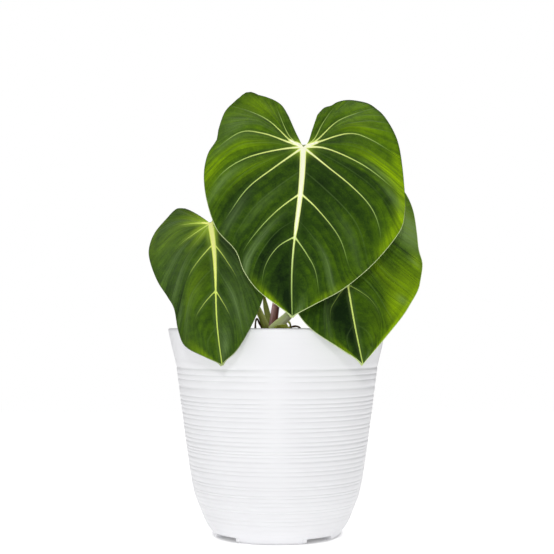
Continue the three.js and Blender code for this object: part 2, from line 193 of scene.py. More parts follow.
def new_grid(name, columns, rows):
    """A flat grid, with the whole number of each point's column and row."""
    start_clean()
    bpy.ops.mesh.primitive_grid_add(x_subdivisions=columns, y_subdivisions=rows, size=2)
    piece = bpy.context.object
    piece.name = piece.data.name = name
    places = points_of(piece)
    column = np.rint((places[:, 0] + 1) / 2 * columns)
    row = np.rint((places[:, 1] + 1) / 2 * rows)
    return piece, column, row


def points_of(piece):
    places = np.empty(len(piece.data.vertices) * 3)
    piece.data.vertices.foreach_get("co", places)
    return places.reshape(-1, 3)


def move_points(piece, places):
    piece.data.vertices.foreach_set("co", np.asarray(places).ravel())
    piece.data.update()


def keep_values(piece, name, values):
    """Stores one number or one direction for each point of a piece."""
    values = np.asarray(values, float)
    kind = "FLOAT" if values.ndim == 1 else "FLOAT_VECTOR"
    layer = piece.data.attributes.new(name, kind, "POINT")
    layer.data.foreach_set("value" if values.ndim == 1 else "vector", values.ravel())


def in_edit_mode(piece, *steps):
    """Runs edit mode steps on a piece with all of its mesh selected."""
    select_only(piece)
    bpy.ops.object.mode_set(mode="EDIT")
    bpy.ops.mesh.select_all(action="SELECT")
    for step in steps:
        step()
    bpy.ops.object.mode_set(mode="OBJECT")


def apply_modifier(piece, kind, **options):
    select_only(piece)
    modifier = piece.modifiers.new(kind.lower(), kind)
    for name, value in options.items():
        setattr(modifier, name, value)
    bpy.ops.object.modifier_apply(modifier=modifier.name)


def smooth_shading(piece, angle=180):
    select_only(piece)
    bpy.ops.object.shade_smooth_by_angle(angle=math.radians(angle))


def dress(piece, node):
    """Ties a finished piece to the part and hides the solid that it stands for."""
    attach(piece, "root")
    if node:
        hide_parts(node)
    faces = sum(len(face.vertices) - 2 for face in piece.data.polygons)
    print(piece.name, faces, "triangles")


# %% [markdown]
# The leaves are the reason that people grow this plant, so they come before the rest.
#
# Every leaf has the same plan. The stalk joins at a point below the notch, and from there one
# midrib runs to the tip. On each side five main veins fan out from the joint, and two more leave
# the midrib lower down. Blender could cut such a leaf from a drawn outline, but then the mesh
# would ignore the veins. Here a grid is bent instead. Its columns run from margin to margin
# across the midrib, and its rows follow the veins, so relief and colour can follow them too.

# %% The plan of a leaf
# Flat places are [across, along] in millimetres from the joint. A margin starts beside the notch
# and ends at the tip. Each ray gives where along its margin it ends and the places it passes.
# The first ray is the edge of the notch, and the next seven are the main veins. The bow tells how
# far the midrib strays sideways, in millimetres, in one wide arc and in an S.
LEAVES = {
    "front": dict(
        at=(18.2, -56, 275.4), yaw=0, roll=4, slope=24, droop=-16, lobe_back=-30, fold=6, curl=26,
        length=123, width=75, wave=(1.5, 3.2, 0.6), forks=(0.295, 0.555), bow=(-1.4, 1.3),
        right=[(8.5, -28.5), (13, -35), (18, -37.6), (22, -41.8), (28, -45.6), (35, -47.2),
               (44.5, -46.6), (51, -42), (57, -35), (66.3, -16), (71, 5), (73.6, 28), (73.6, 42),
               (70.2, 57), (54, 80.5), (33, 102), (15, 114)],
        right_rays=[(0, (3.2, -4.5), (5.5, -15)), (0.08, (7, -6.5), (13, -22)),
                    (0.195, (9, -6), (22, -23), (35, -33)), (0.385, (11, -5), (31, -14), (46, -12)),
                    (0.51, (15, 0), (37, 8), (52, 16)), (0.7, (17, 14.5), (35, 28.5), (48, 41), (55, 55)),
                    (0.8, (13, 48), (28.5, 67), (36.5, 88)), (0.92, (8, 80), (14, 92))],
        left=[(11.5, -25), (17.5, -35), (28, -40.7), (34, -43), (37, -45.3), (38.6, -46.8), (44.6, -47),
              (46.4, -44.6), (51.2, -39.8), (57.7, -30.4), (60.8, -13), (61.2, -3.6), (66.6, 8),
              (68, 24), (64, 44), (55, 66), (41, 81), (34, 95), (24, 107), (9, 117.5)],
        left_rays=[(0, (6, -12)), (0.075, (7, -4.5), (13, -13)), (0.23, (9, -4), (25, -20), (41, -30)),
                   (0.435, (11, -3), (29, -9), (46, -9)), (0.55, (14, 3), (38, 11), (54, 22)),
                   (0.68, (20, 19), (36, 35), (47, 54)), (0.795, (14, 50), (27, 66.5), (35.5, 81)),
                   (0.893, (12, 77), (20, 91))],
    ),
    "left": dict(
        at=(-47, -37, 224.1), yaw=-6, roll=-9, slope=42, droop=-34, lobe_back=-85, fold=6, curl=30,
        length=111.5, width=50, wave=(1.3, 3, 2.1), forks=(0.18, 0.53), bow=(1.4, 1.1),
        right=[(12, -24), (22, -31), (33, -27), (40, -14), (43, 4), (43, 24),
               (40, 44), (33.4, 67), (25.2, 84), (17, 97), (10, 104.8), (3.3, 109)],
        right_rays=[(0, (5, -12)), (0.05, (5, -5), (12, -18)), (0.15, (7, -3.5), (20, -14)),
                    (0.33, (14, -4), (28, -2)), (0.5, (14, 9), (28, 25)), (0.66, (9, 13), (22, 34)),
                    (0.82, (9, 37), (17, 56)), (0.93, (7, 73), (11, 87))],
        left=[(20, -27), (26.5, -28.5), (33.5, -20.5), (43, -10), (47, 5), (46.5, 20),
              (41, 40), (33, 57), (28.5, 68), (27, 84), (23.5, 95), (11, 104.5)],
        left_rays=[(0, (11, -14.5)), (0.04, (6, -4), (14, -13)), (0.12, (8, -3), (20, -11)),
                   (0.3, (16, -3), (28, -3)), (0.47, (12, 8), (24, 17)), (0.62, (8, 12), (20, 30)),
                   (0.73, (11, 34), (18, 47)), (0.9, (9, 69), (15, 80))],
    ),
    "right": dict(
        at=(37.2, -46, 231.2), yaw=10, roll=-7, slope=28, droop=-14, lobe_back=-40, fold=6, curl=26,
        length=114, width=58, wave=(1.4, 3, 4), forks=(0.25, 0.5), bow=(0.6, 0.8),
        right=[(10, -20), (24, -31), (38, -35.5), (52.6, -32.4), (62, -19), (64.4, -2),
               (61, 21), (59, 34), (59.5, 45), (55, 57), (50.5, 65.6), (42, 75.6), (32.6, 85.6),
               (15.6, 100.6)],
        right_rays=[(0, (4, -9)), (0.06, (5, -4.5), (12, -18)), (0.17, (8, -4.5), (24, -17)),
                    (0.4, (20, -7), (42, -4)), (0.58, (22, 9), (41, 29)), (0.66, (14, 15), (32, 40)),
                    (0.76, (14, 45), (26, 66)), (0.91, (13, 69), (18, 83))],
        left=[(9, -17), (19, -25), (30, -27), (40, -21), (46, -7), (48, 12),
              (45, 38), (39, 67), (30, 85), (14, 101.5), (5, 109)],
        left_rays=[(0, (4, -8)), (0.05, (4.5, -4.5), (10, -15)), (0.15, (7, -5.5), (18, -15)),
                   (0.31, (12, -3.5), (30, -4)), (0.5, (12, 6), (30, 22)), (0.64, (8, 12), (24, 36)),
                   (0.78, (10, 44), (22, 62)), (0.9, (9, 66), (16, 78))],
    ),
}
TIP_RAY = 8
FIRST_FORKED_RAY = 6
CURVE_STEPS = 1201


def spline(keys, share):
    """Points at shares of the length of a smooth curve through the keys."""
    keys = np.array(keys, float)
    last = len(keys) - 1
    steps = np.linspace(0, last, CURVE_STEPS)
    first = np.minimum(steps.astype(int), last - 1)
    t = (steps - first)[:, None]
    before, start, end, after = (keys[np.clip(first + k, 0, last)] for k in (-1, 0, 1, 2))
    out, into = (end - before) / 2, (after - start) / 2
    curve = (2 * start - 2 * end + out + into) * t**3
    curve += (3 * end - 3 * start - 2 * out - into) * t**2 + out * t + start
    length = np.append(0, np.linalg.norm(np.diff(curve, axis=0), axis=1).cumsum())
    return np.stack([np.interp(np.asarray(share) * length[-1], length, c) for c in curve.T], -1)


def margin(leaf, side, share):
    return spline(leaf[side] + [(0, leaf["length"])], share)


def ray_path(leaf, side, number, share):
    """Places along one ray of a half, from the midrib to the margin, and the tip for the last."""
    if number == TIP_RAY:
        return np.zeros((len(share), 2)) + (0, leaf["length"])
    end, *passes = leaf[side + "_rays"][number]
    forked = number - FIRST_FORKED_RAY
    start = leaf["forks"][forked] * leaf["length"] if forked >= 0 else 0
    return spline([(0, start), *passes, margin(leaf, side, [end])[0]], share)


def flat_half(leaf, side, ray, reach):
    """Flat places between the rays of a half, at shares of the way from midrib to margin."""
    ends = np.array([own[0] for own in leaf[side + "_rays"]] + [1])
    places, end = np.zeros((len(ray), 2)), np.interp(ray, range(TIP_RAY + 1), ends)
    for number in range(TIP_RAY):
        here = (np.minimum(np.floor(ray), TIP_RAY - 1) == number)
        f, t = (ray[here] - number)[:, None], reach[here]
        first, second = ray_path(leaf, side, number, t), ray_path(leaf, side, number + 1, t)
        tips = [ray_path(leaf, side, number + k, [1.0]) for k in (0, 1)]
        gap = margin(leaf, side, end[here]) - (tips[0] * (1 - f) + tips[1] * f)
        places[here] = first * (1 - f) + second * f + gap * t[:, None] ** 2
    return places, end


def bend_blade(leaf, across, along):
    """A flat place bent into the hanging, slightly folded blade, and the way up from it."""
    bend = np.radians(np.where(along >= 0, leaf["droop"], leaf["lobe_back"])) / leaf["length"]
    start, fold = math.radians(leaf["slope"]), math.radians(leaf["fold"])
    curl = math.radians(leaf["curl"]) / leaf["width"]
    angle = start + bend * along
    turn = fold - curl * np.abs(across)
    sideways = np.sign(across) * (math.sin(fold) - np.sin(turn)) / curl
    lift = (np.cos(turn) - math.cos(fold)) / curl
    up = np.stack([0 * angle, -np.cos(angle), np.sin(angle)], -1)
    forward = -(math.cos(start) - np.cos(angle)) / bend
    down = -(np.sin(angle) - math.sin(start)) / bend
    return np.stack([sideways, forward, down], -1) + up * lift[:, None], up


def leaf_turn(leaf):
    yaw, roll = math.radians(leaf["yaw"]), math.radians(leaf["roll"])
    return np.array(Matrix.Rotation(yaw, 3, "Z") @ Matrix.Rotation(roll, 3, "Y"))


print("veins on each half:", TIP_RAY - 1, "and the midrib")

# %% [markdown]
# Veins are drawn by distance. Every point of a blade gets the distance to the nearest vein, in
# millimetres, less half of that vein's width.
#
# The material can then draw a crisp pale line of the right width where that number is below
# zero, far finer than the mesh. Painting a texture would need an image, and separate vein tubes
# would stand off a surface that is smooth to the touch. A second number says how bright the vein
# still is, because on the real plant the veins fade before they reach the margin.

# %% Vein distances
def nearest_on(path, places):
    """Each place's distance to a path, and how far along the path the nearest spot is."""
    start, step = path[:-1], np.diff(path, axis=0)
    size = np.maximum((step**2).sum(-1), 1e-9)
    share = np.clip(((places[:, None] - start) * step).sum(-1) / size, 0, 1)
    gap = np.linalg.norm(places[:, None] - start - step * share[..., None], axis=-1)
    best, each = gap.argmin(1), np.arange(len(places))
    return gap[each, best], (best + share[each, best]) / len(start)


# Half widths in millimetres and brightness, each at shares of a vein's length.
MAIN_WIDTH = ([0, 0.1, 0.25, 0.5, 0.75, 1], [1.15, 0.68, 0.44, 0.33, 0.25, 0.18])
MAIN_LIGHT = ([0, 0.15, 0.35, 0.55, 0.72, 0.88, 1], [1, 0.94, 0.82, 0.64, 0.44, 0.16, 0])
VEIN_SIZE = [0.6, 0.85, 1, 1, 1, 0.68, 0.52]
MINOR_LIGHT = ([0, 0.12, 0.3, 0.6, 0.85, 1], [0.35, 0.4, 0.5, 0.42, 0.25, 0.1])
# The same for the bar at the joint: its half width, and how much less that is at its far end.
BAR_WIDTH, BAR_NARROWS = 2.0, 0.9
PATH_POINTS = 61
FAR = 99.0


def vein_path(leaf, side, number):
    """Places along a vein, which may also lie between two rays."""
    ray = np.full(PATH_POINTS, float(number))
    return flat_half(leaf, side, ray, np.linspace(0, 1, PATH_POINTS))[0]


def vein_field(leaf, side, places):
    """Distance outside the nearest main vein and its brightness, then the same for minor veins."""
    share = np.linspace(0, 1, PATH_POINTS)
    midrib = np.stack([0 * share, share * leaf["length"]], -1)
    gap, spot = nearest_on(midrib, places)
    shares, half_widths, lights = leaf["midrib"]
    outside = gap - np.interp(spot, shares, half_widths)
    light = np.interp(spot, shares, lights)
    # the basal veins leave the joint as one thick bar
    gap, spot = nearest_on(np.array([(0, 0), leaf["bar"]]), places)
    gap = gap - (BAR_WIDTH - BAR_NARROWS * spot) * leaf["vein_width"]
    closer = gap < outside
    outside = np.where(closer, gap, outside)
    light = np.where(closer, 1, light)
    for number, (size, glow) in enumerate(zip(VEIN_SIZE, leaf["vein_glow"]), 1):
        gap, spot = nearest_on(vein_path(leaf, side, number), places)
        gap = gap - np.interp(spot, *MAIN_WIDTH) * size * leaf["vein_width"]
        closer = gap < outside
        outside = np.where(closer, gap, outside)
        light = np.where(closer, np.interp(spot * leaf["fade"], *MAIN_LIGHT) * glow, light)
    minor, minor_light = np.full(len(places), FAR), np.zeros(len(places))
    for number, strength in leaf["minor"]:
        gap, spot = nearest_on(vein_path(leaf, side, number), places)
        closer = gap < minor
        minor = np.where(closer, gap, minor)
        minor_light = np.where(closer, np.interp(spot, *MINOR_LIGHT) * strength, minor_light)
    return outside, light, minor, minor_light


LEAVES["front"].update(
    vein_width=1.0, bar=(9.5, -4.2), vein_glow=[0.8, 0.95, 1, 1, 1, 0.84, 0.66],
    midrib=([0, 0.25, 0.5, 0.57, 0.8, 1], [2.2, 1.8, 1.3, 0.6, 0.4, 0.25], [1, 1, 1, 0.76, 0.56, 0.4]),
    halo=0.12, yellow=0.15, joint_glow=7, fade=1, streaks=1,
    minor=[(2.5, 0.35), (3.5, 0.45), (4.5, 0.45), (5.5, 0.7), (6.58, 0.75), (7.45, 0.35)],
)
LEAVES["left"].update(
    vein_width=0.8, bar=(6, -1.6), vein_glow=[0.4, 0.5, 0.75, 0.65, 0.3, 0.7, 0.6],
    midrib=([0, 0.2, 0.42, 0.52, 0.75, 1], [2.2, 1.7, 0.9, 0.55, 0.38, 0.28], [1, 1, 0.9, 0.74, 0.62, 0.5]),
    halo=0.4, yellow=0.85, joint_glow=18, fade=1.8, streaks=0.4,
    minor=[(2.5, 0.4), (3.5, 0.5), (4.5, 0.5), (5.5, 0.6), (6.5, 0.6), (7.5, 0.4)],
)
LEAVES["right"].update(
    vein_width=0.65, bar=(6, -2), vein_glow=[0.3, 0.3, 0.3, 0.3, 0.42, 0.3, 0.42],
    midrib=([0, 0.3, 0.6, 1], [1.3, 0.8, 0.55, 0.32], [0.86, 0.76, 0.68, 0.55]),
    halo=0.3, yellow=0.6, joint_glow=12, fade=1.3, streaks=0.3,
    minor=[(2.5, 0.4), (3.5, 0.5), (4.5, 0.5), (5.5, 0.6), (6.5, 0.6), (7.5, 0.4)],
)
print("minor veins on each half of the front leaf:", len(LEAVES["front"]["minor"]))

# %% [markdown]
# The velvet of the upper face is not one green. It is darkest beside the midrib, partly as painted
# shade, turns yellower towards the lobes and margins, and carries greyish bands of painted sheen.
#
# Each leaf therefore gets a tone, from dark to light, given for the inner and the outer part of
# each half at five rays. The tone is partly the leaf's own colour and partly painted shade, lowest
# on the halves that lie behind the front leaf. Soft patches are then added on top: painted glow for
# yellow-green places where light comes through, painted sheen for the greyish bands and painted
# shade for the darkest hollows. All of them are placed by ray and reach, so they run along the
# veins, as they do on the plant.

# %% Tones and patches
TONE_RAYS = [0, 2, 4, 6, 8]
PATCH_KINDS = ("glow", "nap", "deep")
# Tones of the inner and the outer part of each half, partly painted shade. Edges tell how pale
# the margin's line is at shares of it. A patch is its ray, reach, spread over rays, spread over
# reach and strength.
LEAVES["front"].update(
    tone={"left": ([0.55, 0.5, 0.44, 0.34, 0.08], [0.5, 0.52, 0.6, 0.26, 0.3]),
          "right": ([0.5, 0.5, 0.34, 0.25, 0.2], [0.5, 0.62, 0.5, 0.38, 0.4])},
    edge=([0, 0.5, 0.64, 1], [0, 0.05, 1, 1]),
    glow=dict(
        left=[(3.55, 0.9, 0.3, 0.14, 0.6), (3.5, 0.5, 0.2, 0.25, 0.4), (1.6, 0.75, 0.5, 0.2, 0.4),
              (7.45, 0.96, 0.6, 0.07, 0.8), (4.5, 0.5, 0.2, 0.25, 0.25)],
        right=[(4.3, 0.97, 0.4, 0.08, 0.85), (4.9, 0.97, 0.3, 0.06, 0.6), (3.72, 0.88, 0.26, 0.15, 1),
               (3.15, 0.95, 0.2, 0.06, 0.9), (3.95, 0.97, 0.4, 0.06, 0.7), (2.6, 0.6, 0.3, 0.2, 0.4),
               (6.8, 0.97, 0.6, 0.05, 0.4), (3.6, 0.68, 0.18, 0.2, 0.6)],
    ),
    nap=dict(
        left=[(6.26, 0.66, 0.12, 0.34, 0.8), (6.3, 0.93, 0.15, 0.12, 0.5),
              (4.2, 0.78, 0.12, 0.22, 0.7), (3.12, 0.72, 0.14, 0.22, 0.5),
              (2.5, 0.8, 0.35, 0.18, 0.45), (5.15, 0.8, 0.14, 0.2, 0.5), (5.6, 0.5, 0.1, 0.3, 0.3)],
        right=[(3.86, 0.72, 0.1, 0.16, 0.5), (4.2, 0.85, 0.12, 0.12, 0.6),
               (6.62, 0.72, 0.07, 0.28, 0.75), (7.75, 0.8, 0.22, 0.25, 0.5),
               (5.75, 0.7, 0.1, 0.3, 0.25)],
    ),
    deep=dict(
        left=[(6.75, 0.5, 0.2, 0.35, 0.8), (7.6, 0.6, 0.35, 0.35, 0.7), (4.9, 0.75, 0.3, 0.3, 0.9),
              (5.3, 0.25, 0.3, 0.2, 0.45), (2.1, 0.5, 0.12, 0.2, 0.3), (6, 0.9, 0.2, 0.1, 0.3),
              (1.53, 1, 0.17, 0.06, 1), (5.2, 0.66, 0.2, 0.2, 0.5)],
        right=[(5.4, 0.3, 0.4, 0.25, 0.5), (6.2, 0.6, 0.1, 0.3, 0.3), (4.4, 0.78, 0.16, 0.14, 0.8),
               (5.3, 0.62, 0.14, 0.2, 0.4), (4.5, 0.5, 0.3, 0.25, 0.4), (1.9, 1, 0.9, 0.03, 1)],
    ),
)
LEAVES["left"].update(
    tone={"left": ([0.4, 0.42, 0.4, 0.38, 0.33], [0.38, 0.4, 0.34, 0.3, 0.38]),
          "right": ([0.15, 0.15, 0.3, 0.34, 0.2], [0.2, 0.2, 0.3, 0.36, 0.3])},
    edge=([0, 0.85, 1], [0, 0.1, 0.7]),
    glow=dict(
        left=[(3.4, 0.6, 0.3, 0.3, 0.3), (7.2, 0.95, 0.5, 0.08, 0.5), (6.4, 0.4, 0.3, 0.3, 0.25),
              (2.6, 0.95, 0.6, 0.06, 0.3)],
        right=[],
    ),
    nap=dict(
        left=[(5.2, 0.72, 0.16, 0.25, 0.6), (4.4, 0.6, 0.12, 0.3, 0.5), (2.5, 0.6, 0.3, 0.25, 0.35),
              (6.1, 0.85, 0.12, 0.15, 0.4), (6.6, 0.6, 0.1, 0.3, 0.3), (4, 0.65, 2.6, 0.4, 0.3)],
        right=[(6.5, 0.55, 0.15, 0.3, 0.5), (6.1, 0.8, 0.12, 0.2, 0.4), (7.6, 0.5, 0.3, 0.3, 0.6),
               (5.6, 0.6, 1.8, 0.4, 0.3)],
    ),
    deep=dict(
        left=[(5.85, 0.75, 0.08, 0.2, 0.7), (4.8, 0.8, 0.12, 0.2, 0.4), (0.2, 0.6, 0.5, 0.4, 0.9)],
        right=[(4, 0.3, 2.2, 0.35, 0.7), (7.15, 0.7, 0.12, 0.25, 0.6), (2.6, 0.6, 1.2, 0.5, 0.6)],
    ),
)
LEAVES["right"].update(
    tone={"left": ([0.2, 0.2, 0.2, 0.12, 0.1], [0.3, 0.3, 0.3, 0.3, 0.36]),
          "right": ([0.36, 0.36, 0.36, 0.38, 0.26], [0.5, 0.5, 0.46, 0.42, 0.42])},
    edge=([0, 0.35, 0.5, 1], [0.2, 0.3, 0.9, 1]),
    glow=dict(
        left=[(7.4, 0.95, 0.5, 0.06, 0.6)],
        right=[(5.3, 0.88, 0.7, 0.12, 0.55), (4.2, 0.93, 0.3, 0.06, 0.8), (6.2, 0.85, 0.4, 0.12, 0.7),
               (5.6, 0.6, 0.3, 0.25, 0.35), (3.2, 0.9, 0.3, 0.12, 0.5), (7.3, 0.7, 0.5, 0.3, 0.1),
               (3.5, 0.9, 0.25, 0.14, 0.5), (6.4, 0.985, 1.4, 0.035, 1)],
    ),
    nap=dict(
        left=[(6.7, 0.7, 0.15, 0.3, 0.3)],
        right=[(3.45, 0.85, 0.4, 0.24, 1), (3.4, 0.8, 0.3, 0.2, 0.6), (4.25, 0.9, 0.1, 0.08, 0.5),
               (5.9, 0.9, 0.12, 0.06, 0.6), (7.8, 0.8, 0.15, 0.15, 0.5)],
    ),
    deep=dict(
        left=[(5.5, 0.4, 1.2, 0.4, 0.8), (7.3, 0.4, 0.5, 0.3, 0.4)],
        right=[(4.05, 0.75, 0.05, 0.3, 0.9), (7.85, 0.7, 0.08, 0.2, 0.6)],
    ),
)


def patch_strength(leaf, kind, side, ray, reach):
    """How strongly the patches of one kind cover each point of a half."""
    cover = np.zeros(len(ray))
    for at_ray, at_reach, rays_wide, reach_wide, strength in leaf[kind][side]:
        away = ((ray - at_ray) / rays_wide) ** 2 + ((reach - at_reach) / reach_wide) ** 2
        cover = cover + strength * np.exp(-away)
    return np.clip(cover, 0, 1)


def leaf_tone(leaf, side, ray, reach):
    inner, outer = (np.interp(ray, TONE_RAYS, tones) for tones in leaf["tone"][side])
    return inner + (outer - inner) * reach * reach * (3 - 2 * reach)


for kind in PATCH_KINDS:
    print(kind, "patches on the front leaf:", sum(map(len, LEAVES["front"][kind].values())))

# %% [markdown]
# Now the upper face. Fine parallel folds run between the veins. Each rises softly and drops
# sharply, and its light and shade are painted into the colour as a pale band with one crisp side,
# and no two are equally strong. Two streaky noises break up the rest, one broad and one as fine as
# the leaf's fibres, with soft blotches and a fine mottle.
#
# Then the patches, the minor veins, the main veins and the margin are laid over it, in that
# order. The velvet itself is a little sheen over a low gloss. Folds, fibres and mottle make the
# relief, but the veins stay smooth.

# %% Finish of the upper face
def scaled(tree, value, factor, middle=0.0):
    """A value less its middle, times a factor."""
    return times(tree, maths(tree, "SUBTRACT", value, middle), factor)


def sum_up(tree, total, parts):
    """A total plus (value, factor, middle) parts."""
    for part in parts:
        total = plus(tree, total, scaled(tree, *part))
    return total


def leaf_streaks(tree):
    grain = attribute(tree, "grain", "Vector")
    broad = speckle(tree, grain, (2.7, 1.5, 5), 2)
    fibres = speckle(tree, grain, (15, 2.4, 5), 3)
    return broad, fibres


def leaf_folds(tree):
    """Bands along the veins, from -1 to 1, with one soft and one sharp side."""
    grain = attribute(tree, "grain", "Vector")
    sway = speckle(tree, grain, (0.9, 2.2, 5), 1)
    row = sum_up(tree, attribute(tree, "fold_row"), [(sway, 1.6, 0)])
    rise, number = maths(tree, "FRACT", row), maths(tree, "FLOOR", row)
    axes = add_node(tree, "SeparateXYZ", {0: grain}).outputs
    fold_place = {0: scaled(tree, number, 3.7), 1: scaled(tree, axes["Y"], 2.2), 2: axes["Z"]}
    cell = add_node(tree, "CombineXYZ", fold_place).outputs[0]
    strong = remap(tree, speckle(tree, cell, (1, 1, 5), 1), 0.3, 0.7)
    shape = times(tree, remap(tree, rise, 0, 0.8), remap(tree, rise, 1, 0.9))
    outward = remap(tree, axes["Y"], 0.08, 0.5)
    return times(tree, scaled(tree, shape, 2, 0.45), times(tree, strong, outward))


def vein_cover(tree, edge=0.3):
    """1 inside a main vein and 0 outside, with a soft edge in millimetres, less where it fades."""
    inside = remap(tree, attribute(tree, "vein"), edge, -edge)
    return times(tree, inside, remap(tree, attribute(tree, "vein_light"), 0.05, 0.45))


def minor_cover(tree, reach):
    """The same for the minor veins, out to a reach in millimetres."""
    return times(tree, remap(tree, attribute(tree, "minor"), reach, 0.1), attribute(tree, "minor_light"))


leaf_top, tree, shader = finish(
    "leaf_upper_face", Roughness=0.55, Specular_IOR_Level=0.12, Specular_Tint=colour(190, 230, 110),
    Sheen_Weight=0.03, Sheen_Roughness=0.4, Sheen_Tint=colour(190, 225, 140),
)
broad, fibres = leaf_streaks(tree)
# folds: bands along the veins whose light and shade are painted into the colour, and which also make relief
folds = leaf_folds(tree)
place = object_place(tree)
blotches, mottle = (speckle(tree, place, size, 3) for size in (190, 850))
vein, light = attribute(tree, "vein"), attribute(tree, "vein_light")
# painted shade beside each bright vein, where it runs in a slight furrow
beside = times(tree, remap(tree, vein, 2.6, 0.5), light)
# the tone plus random streaks and blotches, then painted light and shade: the folds' bands, the painted
# shade patches and the painted shade beside the veins
tone = sum_up(tree, attribute(tree, "tone"), [
    (broad, 0.42, 0.5), (fibres, 0.1, 0.5), (blotches, 0.4, 0.5), (mottle, 0.25, 0.5),
    (folds, 0.07, 0), (attribute(tree, "deep"), -0.3, 0), (beside, -0.12, 0),
])
green = colour_stops(tree, tone, [
    (0, colour(15, 32, 14)), (0.25, colour(41, 66, 17)), (0.5, colour(70, 101, 16)),
    (0.75, colour(100, 136, 15)), (1, colour(136, 172, 20)),
])
streaks = times(tree, remap(tree, fibres, 0.35, 0.68, -0.3, 0.15), attribute(tree, "streaks"))
streaky = plus(tree, plus(tree, streaks, 0.65), scaled(tree, folds, 0.12))
# painted glow: yellow-green light coming through the blade, broken up by the streaks and folds
glow = times(tree, attribute(tree, "glow"), streaky)
green = mix(tree, glow, green, colour(158, 196, 8))
# painted sheen: greyish bands where the velvet reflects the light
nap = times(tree, attribute(tree, "nap"), remap(tree, fibres, 0.3, 0.65, 0.62, 1))
green = mix(tree, times(tree, nap, 0.8), green, colour(112, 138, 84))
halo = times(tree, remap(tree, vein, 3, 0), attribute(tree, "halo"))
green = mix(tree, halo, green, colour(124, 156, 84))
joint_glow = times(tree, remap(tree, vein, 4.5, 0.2), attribute(tree, "joint_glow"))
green = mix(tree, times(tree, joint_glow, 0.85), green, colour(172, 204, 56))
green = mix(tree, times(tree, minor_cover(tree, 0.75), 0.6), green, colour(120, 150, 84))
# a main vein is cream in its middle and lime at its sides
pale_vein = colour_stops(tree, light, [
    (0, colour(80, 112, 44)), (0.35, colour(124, 156, 82)), (0.6, colour(182, 212, 116)),
    (0.8, colour(232, 250, 136)), (1, colour(244, 254, 148)),
])
yellow = attribute(tree, "yellow")
pale_vein = mix(tree, times(tree, yellow, light), pale_vein, colour(230, 248, 92))
core = times(tree, remap(tree, vein, -0.15, -0.8), light)
pale_vein = mix(tree, core, pale_vein, mix(tree, yellow, colour(255, 255, 236), colour(252, 255, 138)))
green = mix(tree, vein_cover(tree), green, pale_vein)
line = remap(tree, attribute(tree, "margin"), 0.5, 0.15)
pale = attribute(tree, "edge_pale")
dark_line = times(tree, line, maths(tree, "SUBTRACT", 1.0, pale))
green = mix(tree, times(tree, dark_line, 0.8), green, colour(38, 52, 22))
green = mix(tree, times(tree, line, pale), green, colour(208, 222, 164))
height = sum_up(tree, scaled(tree, mottle, 0.5), [(fibres, 0.8, 0), (folds, 0.35, 0)])
height = times(tree, height, remap(tree, vein, 0.1, 0.8))
surface(tree, shader, green, height, depth=0.0005)
print(leaf_top.name, len(tree.nodes), "nodes")

# %% [markdown]
# The underside is paler and matt, and there the veins stand up as ribs. The cut edge is only
# seven tenths of a millimetre thick, but it catches the light, so it has a finish of its own.

# %% Finish of the underside and the edge
leaf_under, tree, shader = finish("leaf_underside", Roughness=0.62, Specular_IOR_Level=0.3)
broad, fibres = leaf_streaks(tree)
green = colour_stops(tree, broad, [(0.25, colour(96, 128, 66)), (0.75, colour(122, 152, 84))])
green = mix(tree, remap(tree, fibres, 0.45, 0.75, 0, 0.35), green, colour(146, 172, 108))
green = mix(tree, minor_cover(tree, 0.8), green, colour(150, 176, 110))
green = mix(tree, vein_cover(tree, 0.35), green, colour(178, 196, 132))
surface(tree, shader, green, fibres, depth=0.0003)

leaf_edge, tree, shader = finish("leaf_edge", Roughness=0.5, Specular_IOR_Level=0.35)
along_edge = speckle(tree, attribute(tree, "grain", "Vector"), (9, 1, 5), 2)
pale = mix(tree, along_edge, colour(152, 174, 92), colour(196, 210, 146))
dark = mix(tree, along_edge, colour(52, 60, 28), colour(84, 92, 46))
surface(tree, shader, mix(tree, attribute(tree, "edge_pale"), dark, pale))
print(leaf_under.name, "and", leaf_edge.name)

# %% [markdown]
# A blade is one sheet with two halves. Between the veins its tissue swells up like a quilt.
# Beside a bright vein it dips a little, the margin waves, and the midrib isn't quite straight.
#
# Each half is worked out for whole arrays of points, from their ray and how far they reach from
# the midrib to the margin. The sheet is thicker along the midrib and the veins, because they
# stand out as ribs on the underside.

# %% Half a blade
JOINT_RIB, VEIN_RIB, THIN = 2.0, 0.55, 0.7
MIDRIB_SPREAD, VEIN_SPREAD = 2.4, 0.9
QUILT, VALLEY, VEIN_CREST = 1.05, 0.22, 0.35
FOLDS_PER_VEIN = 5
EDGE_POINTS = 160


def bow_sideways(leaf, along, reach):
    """How far the midrib's bow pulls a point sideways. It dies out towards the margin."""
    arc, swing = leaf["bow"]
    down = math.pi * np.clip(along / leaf["length"], 0, 1)
    return (arc * np.sin(down) + swing * np.sin(2 * down)) * (1 - reach) ** 2


